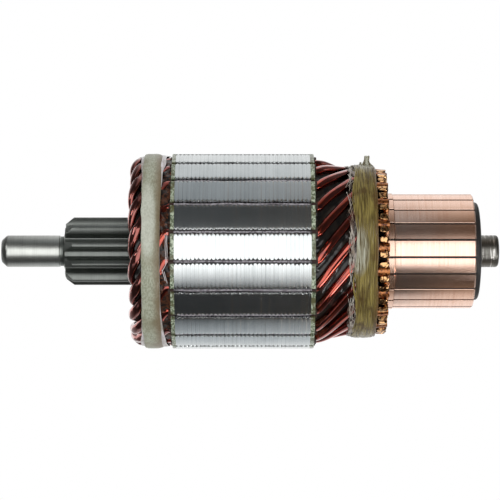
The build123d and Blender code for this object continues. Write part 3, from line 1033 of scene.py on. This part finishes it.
    def build(self, finish: Material) -> None:
        """Builds each coil as a piece of its own."""
        draw = np.random.default_rng(self.seed)
        for number in range(SLOT_COUNT):
            name = f"coil_{number + 1:02d}"
            Shape().tube(self.net(number, draw)).make(f"wound_{name}", finish, Slot.ENAMEL, name)


@dataclass
class Commutator:
    """Copper bars with forked risers round the black moulding."""

    collar_radius: float = 17.4
    track_radius: float = 17.15
    collar_end: float = 107.6
    track_end: float = 131.6
    end_chamfer: float = 0.4
    lip_radius: float = 15.0
    foot_radius: float = 12.8
    foot_start: float = RISER_START + 3.0
    foot_end: float = 128.6
    foot_spread: float = 0.9
    riser_radius: float = 24.8
    fork_bottom: float = 17.76
    fork_half: float = 1.3
    gap: float = 0.55
    arc_steps: int = 10
    tops: tuple[float, float] = (-0.35, 0.15)
    leans: tuple[float, float] = (-0.1, 0.4)
    hammered: float = 0.1
    squareness: float = 0.65
    prong_rows: int = 12
    prong_around: int = 24
    seed: int = 7

    @property
    def half_arc(self) -> float:
        """Half the angle that a bar takes."""
        return SLOT_PITCH / 2 - math.degrees(math.asin(self.gap / 2 / self.track_radius))

    def bar_body(self, angle: float) -> tuple[Array, Faces]:
        """The turned part of a bar with its foot: one profile, repeated across the bar's arc."""
        lip, track, step = self.lip_radius, self.track_radius, self.fork_bottom + 0.2
        profile = np.array([
            (RISER_START, lip), (RISER_START, step), (RISER_END, step), (RISER_END, self.collar_radius),
            (self.collar_end - 0.08, self.collar_radius), (self.collar_end + 0.1, track - 0.06),
            (self.collar_end + 0.4, track), (self.track_end - self.end_chamfer, track),
            (self.track_end, track - self.end_chamfer), (self.track_end, lip), (self.foot_end, lip),
            (self.foot_end + self.foot_spread, self.foot_radius),
            (self.foot_start - self.foot_spread, self.foot_radius), (self.foot_start, lip)])
        half = self.half_arc
        turns = np.array([-half, *np.linspace(-half + 0.25, half - 0.25, self.arc_steps - 1), half])
        drop = np.zeros((len(turns), len(profile)))
        drop[[0, -1]] = 0.07 * (profile[:, 1] > lip + 0.5)
        net = polar(profile[:, 0], profile[:, 1] - drop, angle + turns[:, None])
        last = (len(turns) - 1) * len(profile)
        side = filled(profile)
        return net, net_faces(len(turns), len(profile)) + side + shifted(side, last)

    def prong(self, angle: float, side: int, draw: np.random.Generator) -> Array:
        """Rows of one prong of a riser's fork, hammered towards the leads, from its root to its top."""
        shank = np.linspace(self.fork_bottom - 0.6, self.riser_radius - 0.5, self.prong_rows - 3)
        high = np.array([*shank, *(self.riser_radius + np.array([-0.2, -0.05, 0.0]))])
        shrink = np.concatenate((np.ones(self.prong_rows - 4), [0.97, 0.88, 0.72, 0.42]))
        centre, thick = (RISER_START + RISER_END) / 2, (RISER_END - RISER_START) / 2
        reach = math.tan(math.radians(self.half_arc))
        top, lean = draw.uniform(*self.tops), draw.uniform(*self.leans)
        turn = np.linspace(0, 2 * math.pi, self.prong_around, endpoint=False)
        long, wide = squared_circle(turn, self.squareness)
        wave = Ripple(int(draw.integers(1000)), round_=3, along=1.2)
        radians = math.radians(angle)
        out = np.array([0, math.cos(radians), math.sin(radians)])
        beside = np.array([0, -math.sin(radians), math.cos(radians)]) * side
        net = np.empty((self.prong_rows, self.prong_around, 3))
        for row, (radius, size) in enumerate(zip(high, shrink)):
            share = max(0.0, (radius - self.fork_bottom) / (self.riser_radius - self.fork_bottom))
            inner, outer = self.fork_half - 0.05 * share, radius * reach
            middle = (inner + outer) / 2 - lean * share**2
            bumps = 1 + self.hammered * wave.at(radius * 1.5, np.degrees(turn)) * share
            across = middle + wide * (outer - inner) / 2 * (0.5 + size / 2) * bumps
            net[row] = out * (radius + top * share) + beside * across[:, None]
            net[row, :, 0] = centre + long * thick * size * bumps
        return net

    def build(self, finish: Material) -> None:
        """Builds each bar with its two prongs as a piece."""
        draw = np.random.default_rng(self.seed)
        for number in range(SLOT_COUNT):
            angle = FIRST_SLOT_ANGLE + (number + 0.5) * SLOT_PITCH
            shape = Shape()
            shape.add(*self.bar_body(angle))
            for side in (-1, 1):
                shape.tube(self.prong(angle, side, draw))
            name = f"commutator_bar_{number + 1:02d}"
            shape.make(f"copper_{name}", finish, Slot.COPPER, name, sharp=35)


@dataclass
class Moulding:
    """The black body under the bars, with a thin web between each two of them."""

    bars: Commutator
    bore: float = 6.5
    front: float = 100.9
    end: float = 133.35
    clearance: float = 0.1
    web_top: float = 16.55
    web_half: float = 0.2
    segments: int = 126

    def build(self, finish: Material) -> None:
        """Builds the body and the webs as one piece."""
        bars = self.bars
        lip, foot = bars.lip_radius - self.clearance, bars.foot_radius - self.clearance
        turn = np.radians(np.linspace(0, 90, 6))
        corner = table(self.end - 0.9 + 0.9 * np.sin(turn), bars.lip_radius - 1.3 + 1.0 * np.cos(turn))
        profile = np.array([
            (self.front, self.bore), (self.front, lip), (bars.foot_start, lip),
            (bars.foot_start - bars.foot_spread, foot), (bars.foot_end + bars.foot_spread, foot),
            (bars.foot_end, lip), (bars.track_end, lip), (bars.track_end + 0.1, bars.lip_radius - 0.3),
            *corner, (self.end, 7.4), (self.end - 0.4, 6.9), (self.end - 0.4, self.bore)])
        shape = Shape().ring(polar(profile[:, 0], profile[:, 1], whole_turn(self.segments)))
        ends = np.array([[RISER_START + 0.1], [bars.track_end - 0.15]])
        wide = np.array([-1, 1, 1, -1]) * self.web_half
        high = np.repeat([bars.foot_radius - 0.2, self.web_top], 2)
        for slot in range(SLOT_COUNT):
            middle = FIRST_SLOT_ANGLE + slot * SLOT_PITCH
            shape.tube(polar(ends, np.hypot(high, wide), middle + np.degrees(wide / high)))
        shape.make("moulded_body", finish, Slot.MOULDING, "commutator_moulding", sharp=45)


@dataclass
class Sleeves:
    """Varnished sleeving between the layers of the winding, and the varnish between the turns."""

    winding: Winding
    lead_depths: tuple[float, float] = (2.2, 3.6)
    ridge: float = 1.1
    weave: float = 0.1
    turn_start: float = 31.6
    turn_radii: tuple[float, float] = (25.9, 23.9)
    recess_stations: tuple[float, ...] = (33.6, 38.5, 39.5, 41.2, DRIVE_FACE)
    recess_radii: tuple[float, ...] = (27.8, 27.9, 27.95, 27.85, 28.2)
    recess_bottom: float = 25.6
    segments: int = 630
    seed: int = 61

    def lumpy(self, x: Array, top: Array | float, bottom: Array | float, lift: float, seed: int) -> Array:
        """Net of a ring between two lines of radii, whose outside is lumpy by a lift in mm."""
        loop = np.concatenate((table(x, top), table(x, bottom)[::-1]))
        lumps = Ripple(seed, waves=30, round_=55, along=2.5)
        return uneven_ring(loop, whole_turn(self.segments), lift, lumps)

    def build(self, dark: Material, brown: Material) -> None:
        """Builds the sleeves of both ends and the varnish by the drive-end insulator."""
        x = np.linspace(COMMUTATOR_FACE + 0.02, RISER_START - 0.3, 40)
        top, bottom = (self.winding.lead_radius(x, depth) for depth in self.lead_depths)
        net = self.lumpy(x, top, bottom, lift=0.07, seed=self.seed)
        turned = (whole_turn(self.segments) - self.winding.outer_angle(x)) / SLOT_PITCH
        rise = self.ridge * np.abs(2 * (turned - np.floor(turned)) - 1) ** 2
        rise += self.weave * np.cos(10 * math.pi * turned)
        radius = np.linalg.norm(net[:, :len(x), 1:], axis=2)
        net[:, :len(x), 1:] *= ((radius + rise) / radius)[..., None]
        Shape().ring(net).make("lead_sleeve", dark, Slot.PAPER, "commutator_end_sleeve")
        x = np.linspace(self.turn_start, DRIVE_FACE - 0.05, 14)
        net = self.lumpy(x, *self.turn_radii, lift=0.1, seed=self.seed + 1)
        Shape().ring(net).make("turn_sleeve", dark, Slot.PAPER, "drive_end_sleeve")
        x = np.linspace(self.recess_stations[0], DRIVE_FACE + 0.02, 20)
        top = np.interp(x, self.recess_stations, self.recess_radii)
        net = self.lumpy(x, top, self.recess_bottom, lift=0.22, seed=self.seed + 2)
        Shape().ring(net).make("recess_varnish", brown, Slot.PAPER, "drive_end_sleeve")


@dataclass
class Bands:
    """Glass tapes and cord that hold the end turns."""

    segments: int = 360
    drive_start: float = 33.5
    drive_end: float = 38.9
    drive_inner: float = 28.28
    drive_outer: float = 29.23
    tape_start: float = 93.9
    tape_end: float = 102.32
    cord_start: float = 96.2
    under_radii: tuple[float, float] = (25.1, 24.65)
    clearance: float = 0.08
    tape_thickness: float = 0.35
    cord_thickness: float = 0.7
    fibres: int = 230
    fibre_sizes: tuple[float, float] = (0.035, 0.08)
    strands: int = 70
    strand_sizes: tuple[float, float] = (0.09, 0.2)
    frayed_sizes: tuple[float, float] = (0.12, 0.2)
    tufts: tuple[tuple[int, tuple[float, float, float], tuple[float, float], float], ...] = (
        (120, (92.0, 99.9, 26.0), (2.0, 2.75), 0.78), (14, (91.0, 98.0, 25.9), (0.5, 0.95), 0.3))
    seed: int = 23

    def cover(self, x: Array, height: Array | float) -> Array:
        """Radius at a height over the leads' outside, of the straight cone that the CAD bands follow."""
        return np.interp(x, (self.tape_start, self.tape_end), self.under_radii) + height

    def wandering(self, loop: Array, seed: int, edge: float, lift: float, left_edge: float = 1.0) -> Array:
        """Net of a tape's closed profile turned about the shaft, uneven as hand-wound tape is.

        Args:
            loop: Stations and radii of the closed profile.
            seed: Seed of the unevenness.
            edge: How far the edges wander along the shaft.
            lift: How far the outside wanders outward and inward.
            left_edge: How much more the left edge wanders than the right one.

        Returns:
            The net, one row for each angle.
        """
        angles = whole_turn(self.segments)
        low, high = loop[:, 0].min(), loop[:, 0].max()
        share = (loop[:, 0] - low) / (high - low) * 2 - 1
        left, right = Ripple(seed, waves=16, round_=30), Ripple(seed + 1, round_=14)
        rough = Ripple(seed + 2, waves=26, round_=40, along=3)
        wander = left_edge * np.clip(-share, 0, 1) * left.at(0, angles)
        wander += np.clip(share, 0, 1) * right.at(0, angles)
        return uneven_ring(loop, angles, lift, rough, edge * wander)

    def drive_band(self, finish: Material, sheer: Material) -> None:
        """Builds the tape round the drive-end turns, and the thin film of the layer under it."""
        low, high, start, end = self.drive_inner, self.drive_outer, self.drive_start, self.drive_end
        loop = np.array([(start, low), (start, high - 0.5), (start + 0.12, high - 0.26),
                         (start + 0.4, high - 0.12), (start + 1.1, high), (start + 2.0, high + 0.06),
                         (start + 2.8, high + 0.07), (start + 3.6, high + 0.02), (end - 0.9, high - 0.12),
                         (end - 0.35, high - 0.26), (end, high - 0.45), (end, low)])
        net = self.wandering(loop, self.seed, edge=0.12, lift=0.045)
        Shape().ring(net).make("drive_tape", finish, Slot.TAPE, "drive_end_band")
        film = Shape()
        angles = whole_turn(self.segments)
        torn = Ripple(self.seed + 5, waves=16, round_=24)
        share = np.array([0, 0.35, 0.7, 1, 1, 0.7, 0.35, 0])
        thick = np.array([0, 0, 0, 0, 0.09, 0.1, 0.1, 0.1])
        wide = np.abs(np.sin(np.radians(angles))) ** 5
        for edge, side, reach, outer in ((end - 0.4, 1, 1.9, high - 0.42), (start + 0.4, -1, 1.1, low + 0.3)):
            width = (reach * wide) * (1 + 0.16 * torn.at(side, angles)) + 0.35
            radius = outer - 0.2 * share**1.5 - thick + 0.05 * torn.at(share * 4, angles)
            film.ring(polar(edge + side * width * share, radius, angles))
        film.make("drive_tape_film", sheer, Slot.TAPE, "drive_end_band")

    def lead_tape(self, finish: Material, loose: Material) -> None:
        """Builds the tape under the cord and its loose fibres."""
        xs = np.array([self.tape_start, self.tape_start + 0.3, self.tape_start + 1.2, self.cord_start + 0.6,
                       self.tape_end - 2, self.tape_end])
        height = self.clearance + self.tape_thickness
        top = self.cover(xs, height) - np.array([0.15, 0.02, 0, 0, 0, 0])
        under = xs[::-1][[0, 3, 5]]
        loop = np.concatenate((table(xs, top), table(under, self.cover(under, self.clearance))))
        net = self.wandering(loop, self.seed + 9, edge=0.16, lift=0.06, left_edge=2.2)
        Shape().ring(net).make("lead_tape", finish, Slot.TAPE, "commutator_end_band")
        shape = Shape()
        draw = np.random.default_rng(self.seed + 3)
        share = np.linspace(-1, 1, 11)
        for _ in range(self.fibres):
            middle, reach = draw.uniform(0, 360), draw.uniform(2, 10)
            angles = np.linspace(middle - reach, middle + reach, 11)
            start, lean, bow = draw.uniform(0.1, 2.4), draw.normal(0, 0.4), draw.normal(0, 0.2)
            stations = self.tape_start + start + lean * share + bow * share**2
            lift = self.cover(stations, height + draw.uniform(-0.02, 0.09))
            lift -= 0.15 * np.clip(self.tape_start - stations, 0, 1)
            size = np.full(11, draw.uniform(*self.fibre_sizes))
            shape.tube(self.strand(polar(stations, lift, angles), size))
        shape.make("loose_fibres", loose, Slot.TAPE, "commutator_end_band")

    def strand(self, path: Array, thickness: Array) -> Array:
        """Net of a fine round strand along a path."""
        along = unit(np.gradient(path, axis=0))
        side = unit(np.cross(along, np.array([1.0, 0.02, 0.03])))
        other = np.cross(along, side)
        turn = np.linspace(0, 2 * math.pi, 5, endpoint=False)[None, :, None]
        ring = side[:, None] * np.cos(turn) + other[:, None] * np.sin(turn)
        return path[:, None] + ring * thickness[:, None, None]

    def closed_strand(self, path: Array, size: Array) -> Array:
        """Net of a strand that closes on itself."""
        longer = np.concatenate((path[-1:], path, path[:1]))
        return self.strand(longer, np.concatenate((size[-1:], size, size[:1])))[1:-1]

    def cord(self, finish: Material) -> None:
        """Builds the wound cord: its body, the strands on it and the frayed end."""
        draw = np.random.default_rng(self.seed)
        base = self.clearance + self.tape_thickness
        xs = np.linspace(self.cord_start, self.tape_end, 12)
        share = np.clip((xs - xs[0]) / (xs[-1] - xs[0]), 0.02, 0.98)
        height = self.cord_thickness * (0.75 + 0.25 * np.sqrt(np.sin(math.pi * share))) - 0.15
        top = self.cover(xs, base) + height
        under = xs[[-1, 5, 0]]
        loop = np.concatenate((table(xs, top), table(under, self.cover(under, base + 0.02))))
        shape = Shape().ring(self.wandering(loop, self.seed + 20, edge=0.12, lift=0.07, left_edge=4.0))
        angles = np.arange(0, 360, 2.5)
        left = self.cord_start - 1.2
        for number in range(self.strands):
            middle = draw.uniform(self.cord_start - 0.1, self.tape_end - 0.3)
            wave = Ripple(500 + number, waves=8, round_=7)
            x = left + np.abs(middle + wave.at(0, angles) * draw.uniform(0.2, 0.9) - left)
            x = np.minimum(x, self.tape_end - 0.1)
            lift = np.interp(x, xs, top) + draw.uniform(-0.05, 0.12) + 0.06 * wave.at(3, angles)
            lift -= 0.4 * np.clip(self.cord_start - x, 0, 1)
            size = draw.uniform(*self.strand_sizes) * (1 + 0.2 * wave.at(7, angles))
            shape.ring(self.closed_strand(polar(x, lift, angles), size))
        for count, root, lengths, spread in self.tufts:
            for _ in range(count):
                shape.tube(self.frayed(draw, root, draw.uniform(*lengths), spread))
        shape.make("cord_strands", finish, Slot.CORD, "cord_wrap", sharp=60)

    def frayed(self, draw: np.random.Generator, root: tuple[float, float, float], length: float,
               spread: float) -> Array:
        """Net of one strand of a frayed end that stands out of the cord.

        Args:
            draw: Where its random numbers come from.
            root: Angle, station and radius where the frayed end starts.
            length: How far it stands out.
            spread: How far it may lean along the shaft.

        Returns:
            The net.
        """
        angle, x, radius = root
        share = np.linspace(0, 1, 9)
        start, end = draw.uniform(-spread, spread) * 2.5, draw.uniform(-spread, spread)
        stations = x + start * (1 - share) ** 2 + end * share + 0.25 * share
        turn = angle + (draw.uniform(-1, 1) * 3.5 * (1 - share) + draw.uniform(-1, 1) * 1.3 * share)
        path = polar(stations, radius - 0.3 + (length + 0.3) * share, turn)
        return self.strand(path, draw.uniform(*self.frayed_sizes) * (1 - 0.4 * share**2))


@dataclass
class Studio:
    """Camera, lamp, white surroundings and the graded cards that the metal reflects."""

    lens: float = 165.0
    camera_place: tuple[float, float, float] = (0.0650, -0.690, 0.00036)
    lamp_place: tuple[float, float, float] = (0.065, -0.95, -0.09)
    lamp_size: tuple[float, float] = (0.9, 0.86)
    lamp_level: float = 0.75
    card_radius: float = 0.5
    fill: float = 0.85

    def facing(self, name: str, data: Any, place: tuple[float, float, float]) -> bpy.types.Object:
        """Puts a camera or a lamp at a place, turned to look along Y."""
        made = linked(name, data)
        made.location = place
        made.rotation_euler = (math.radians(90), 0, 0)
        return made

    def camera(self) -> None:
        """Places the camera as the photograph was taken."""
        data = bpy.data.cameras.new("camera")
        data.lens = self.lens
        data.sensor_width = 36
        data.clip_start = 0.01
        bpy.context.scene.camera = self.facing("camera", data, self.camera_place)

    def lamp(self) -> None:
        """Makes the soft rectangular lamp in front, whose surface has a plain brightness level."""
        data = bpy.data.lights.new("front_lamp", "AREA")
        data.shape = "RECTANGLE"
        data.size, data.size_y = self.lamp_size
        data.energy = self.lamp_level * math.pi * self.lamp_size[0] * self.lamp_size[1]
        self.facing("front_lamp", data, self.lamp_place)

    def seen(self, shader: Shader) -> Field:
        """Gives 1 for rays from the camera, a reflection or a clear piece."""
        rays = shader.node("ShaderNodeLightPath").outputs
        camera, glossy, clear = (Field(shader, rays[f"Is {name} Ray"])
                                 for name in ("Camera", "Glossy", "Transmission"))
        return camera.most(glossy).most(clear)

    def world(self) -> None:
        """Makes the white surroundings, dimmer for the light that they give."""
        shader = Shader("surroundings", "worlds")
        bpy.context.scene.world = shader.owner
        back = shader.found("BACKGROUND")
        shader.give(back.inputs["Color"], (1.0, 1.0, 1.0))
        shader.give(back.inputs["Strength"], self.fill + (1 - self.fill) * self.seen(shader))

    def sheet(self, name: str, points: Array, material: Material, reflected: bool = False) -> None:
        """Makes a curved sheet of the studio from rows of points in metres.

        Args:
            name: Name of the sheet.
            points: The rows.
            material: Its material.
            reflected: Whether only reflections show it.
        """
        faces = net_faces(*points.shape[:2], closed_columns=False)
        sheet = linked(name, smooth_mesh(name, points, faces, material))
        if reflected:
            sheet.visible_camera = sheet.visible_diffuse = sheet.visible_transmission = False
            sheet.visible_shadow = sheet.visible_volume_scatter = False

    def floor(self) -> None:
        """Makes the white floor, which curves up into the backdrop."""
        shader = Shader("white_paper")
        shader.finish(base_color=(0.9, 0.9, 0.9), roughness=0.9)
        glow = shader.node("ShaderNodeEmission")
        sockets = {0: self.seen(shader), 1: shader.found("BSDF_PRINCIPLED").outputs[0], 2: glow.outputs[0]}
        shader.show("ShaderNodeMixShader", sockets)
        turn = np.radians(np.linspace(0, 90, 13))
        bend = table(1.0 + 0.5 * np.sin(turn), -0.1 - 0.5 * np.cos(turn))
        line = np.array([(-1.6, -0.6), *bend, (1.5, 1.6)])
        self.sheet("floor", table(np.array([-2.2, 2.2]), line[:, :1], line[:, 1:]), shader.owner)

    def card(self, name: str, edges: tuple[float, float], warmth: float,
             stops: Sequence[tuple[float, float]]) -> None:
        """Makes a graded card that only reflections show.

        Args:
            name: Name of the card.
            edges: Stations of its left and right edge in metres.
            warmth: How much its dark parts lean to brown, or to blue below 0.
            stops: Angles in degrees, from the camera's direction upwards, and brightnesses.
        """
        start, end = stops[0][0], stops[-1][0]
        peak = max(level for _, level in stops)
        shader = Shader(name)
        angle = shader.along(2).turn_from(shader.along(1) * -1)
        share = (angle * (180 / math.pi) - start) * (1 / (end - start))
        ramp = [((position - start) / (end - start),
                 tuple(level / peak * (1 - tint * warmth * (1 - level / peak)) for tint in (0, 1, 1.8)))
                for position, level in stops]
        shades = shader.node("ShaderNodeValToRGB", {"stops": ramp}, {0: share})
        shader.show("ShaderNodeEmission", {"Color": shades.outputs[0], "Strength": peak})
        turn = np.radians(np.linspace(start, end, 25))[:, None]
        points = table(np.array(edges), -np.cos(turn) * self.card_radius, np.sin(turn) * self.card_radius)
        self.sheet(name, points, shader.owner, reflected=True)

    def flag(self, name: str, level: float, line: Sequence[tuple[float, float]],
             heights: tuple[float, float] = (-0.8, 0.8)) -> None:
        """Makes a plain upright card along places in X and Y, that only reflections show."""
        glow = Shader(name).show("ShaderNodeEmission", {"Strength": level})
        points = np.array([[(x, y, z) for z in heights] for x, y in line])
        self.sheet(name, points, glow, reflected=True)

    def build(self) -> None:
        """Builds the whole studio."""
        bpy.context.scene.view_settings.view_transform = "Standard"
        self.camera()
        self.world()
        self.floor()
        self.lamp()
        left = -1.5
        for place, right, warmth, upper, lower in (
                ("far_left", -0.13, 0.0,
                 ((20, 0.4), (27, 1.6), (33, 1.6), (38, 0.2), (62, 0.05), (92, 0.06), (130, 0.25),
                  (160, 0.5)),
                 ((-160, 0.5), (-120, 0.2), (-90, 0.05), (-52, 0.05), (-38, 0.3), (-27, 0.9))),
                ("shaft", -0.032, 0.0,
                 ((20, 0.3), (27, 0.16), (34, 0.07), (56, 0.06), (66, 0.1), (90, 0.22), (112, 0.42),
                  (160, 0.62)),
                 ((-160, 0.8), (-137, 0.64), (-107, 0.38), (-92, 0.12), (-82, 0.05), (-56, 0.04),
                  (-40, 0.06), (-34, 0.12), (-30, 0.6), (-27, 0.95))),
                ("core", 0.118, -0.12,
                 ((20, 0.14), (27, 0.09), (34, 0.05), (40, 0.04), (56, 0.06), (59, 0.32), (93, 0.46),
                  (98, 0.76), (118, 0.84), (132, 0.96)),
                 ((-136, 0.95), (-127, 0.5), (-118, 0.52), (-111, 0.66), (-104, 0.6), (-97, 0.34),
                  (-91, 0.06), (-84, 0.03), (-56, 0.02), (-40, 0.03), (-34, 0.04), (-32, 0.1), (-30.5, 0.35),
                  (-29, 0.85), (-27.5, 1.05))),
                ("commutator", 0.25, 0.35,
                 ((20, 0.7), (26, 0.3), (33, 0.1), (43, 0.08), (52, 0.12), (62, 0.18), (71, 0.34), (81, 0.52),
                  (90, 0.68), (99, 0.84), (110, 0.98), (130, 1.0)),
                 ((-130, 1.0), (-124, 0.98), (-97, 0.76), (-86, 0.4), (-77, 0.14), (-64, 0.06), (-52, 0.04),
                  (-42, 0.06), (-37, 0.2), (-32, 0.55), (-28, 0.95))),
                ("far_right", 1.5, 0.0,
                 ((20, 0.05), (60, 0.05), (90, 0.08), (130, 0.18), (160, 0.5)),
                 ((-150, 0.5), (-110, 0.15), (-75, 0.04), (-58, 0.05), (-50.5, 0.2), (-47.5, 9), (-43.5, 9),
                  (-40, 0.5), (-27, 0.3)))):
            self.card(f"upper_{place}_card", (left, right), warmth, upper)
            self.card(f"lower_{place}_card", (left, right), warmth, lower)
            left = right
        self.flag("left_flag", 0.07, ((-0.42, -0.95), (-0.72, -0.5), (-0.85, 0.2), (-0.86, 0.3)))
        self.flag("left_glint", 5.0, ((-0.5, -0.34), (-0.5, -0.22)), (0.14, 0.34))
        self.flag("left_back_flag", 1.6, ((-0.86, 0.3), (-0.8, 0.7), (-0.62, 1.2)))
        self.flag("right_flag", 0.07, ((0.55, -0.95), (0.85, -0.5), (0.98, 0.2)))


def dress(node: bpy.types.Object, finish: Material) -> None:
    """Gives a CAD node its finish."""
    if not node.material_slots:
        node.data.materials.append(finish)
    for slot in node.material_slots:
        slot.material = finish


def main() -> None:
    """Builds the studio and the pieces, and dresses the CAD nodes that stay."""
    logging.basicConfig(level=logging.INFO, format="%(name)s: %(message)s")
    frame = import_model()
    nodes = frame["nodes"]
    Studio().build()
    board = Fibre("fibre_board", tone(76, 94, 64), tone(186, 196, 172), tone(84, 84, 42), along=2.2,
                  round_=1.6, stain_size=0.5, depth=0.2, coat=0.8, spread=0.08)
    # The drive tape's pale oval is a painted highlight: its upper front is painted lighter, as where light
    # falls on it
    tape = Fibre("glass_tape", tone(140, 143, 122), tone(168, 171, 151), tone(128, 124, 98),
                 stain_share=0.35, along=2.4, round_=1.3, depth=0.08, spread=0.13, fade=(36.0, 38.8),
                 pale_fibre_and_painted_light_ovals=((35.2, 9.0, 2.4, 11.0),), pale_oval_grain=0.2)
    lead_tape = Fibre("lead_tape", tone(62, 36, 26), tone(116, 92, 78), tone(38, 20, 14), stain_size=0.3,
                      coat=0.15, patchy_end=98.0, pale_fibre_and_painted_light=tone(190, 182, 174),
                      pale_fibre_and_painted_light_ovals=((95.2, 26.0, 2.6, 4.5), (95.2, -25.0, 2.6, 5.0), (95.8, 0.5, 1.2, 8.0)))
    fibres = Fibre("loose_fibres", tone(188, 182, 170), tone(222, 218, 208), tone(140, 118, 100), along=1.0,
                   round_=1.0)
    pale = Fibre("folded_paper", tone(206, 196, 196), tone(226, 220, 220), tone(190, 160, 156), along=1.0,
                 round_=1.0)
    # The cord's first pale oval whitens its front strands; the second is painted light over its top and
    # frayed stub, against their own shadow
    cord = Fibre("glass_cord", tone(90, 74, 26), tone(152, 136, 68), tone(90, 68, 26), along=3.2, round_=0.16,
                 stain_size=0.22, stain_share=0.3, coat=0.5, roughness=0.45, spread=0.16,
                 pale_fibre_and_painted_light_ovals=((97.0, 0.0, 2.6, 6.5), (99.6, 29.2, 3.6, 5.0)), fade=(100.6, 102.6),
                 faded=tone(104, 72, 30))
    sheer = Fibre("tape_film", tone(178, 170, 172), tone(216, 212, 214), tone(150, 142, 132), coat=0.6)
    dark = Varnish("sleeve_varnish", tone(12, 8, 7), tone(32, 23, 16), tone(54, 46, 34), coat=0.5,
                   coat_ior=1.7, depth=0.12)
    brown = Varnish("run_varnish", tone(22, 12, 8), tone(82, 42, 18), tone(186, 104, 36), lumps=0.7,
                    coat=0.4, coat_ior=1.6)
    Shaft().build(ShaftSteel().material())
    Core().build(LaminatedSteel().material())
    liners = Liners()
    liners.build(SlotPaper().material())
    liners.folded_edge(pale.material())
    winding, bars = Winding(), Commutator()
    winding.build(Enamel().material())
    bars.build(BarCopper().material())
    Moulding(bars).build(Moulded("black_phenolic", tone(26, 26, 27), tone(96, 92, 86)).material())
    Sleeves(winding).build(dark.material(), brown.material())
    bands = Bands()
    bands.drive_band(tape.material(), sheer.material())
    bands.lead_tape(lead_tape.material(), fibres.material())
    bands.cord(cord.material())
    board_finish = board.material()
    for name in ("drive_end_insulator", "commutator_end_insulator"):
        dress(nodes[name], board_finish)


if __name__ == "__main__":
    main()
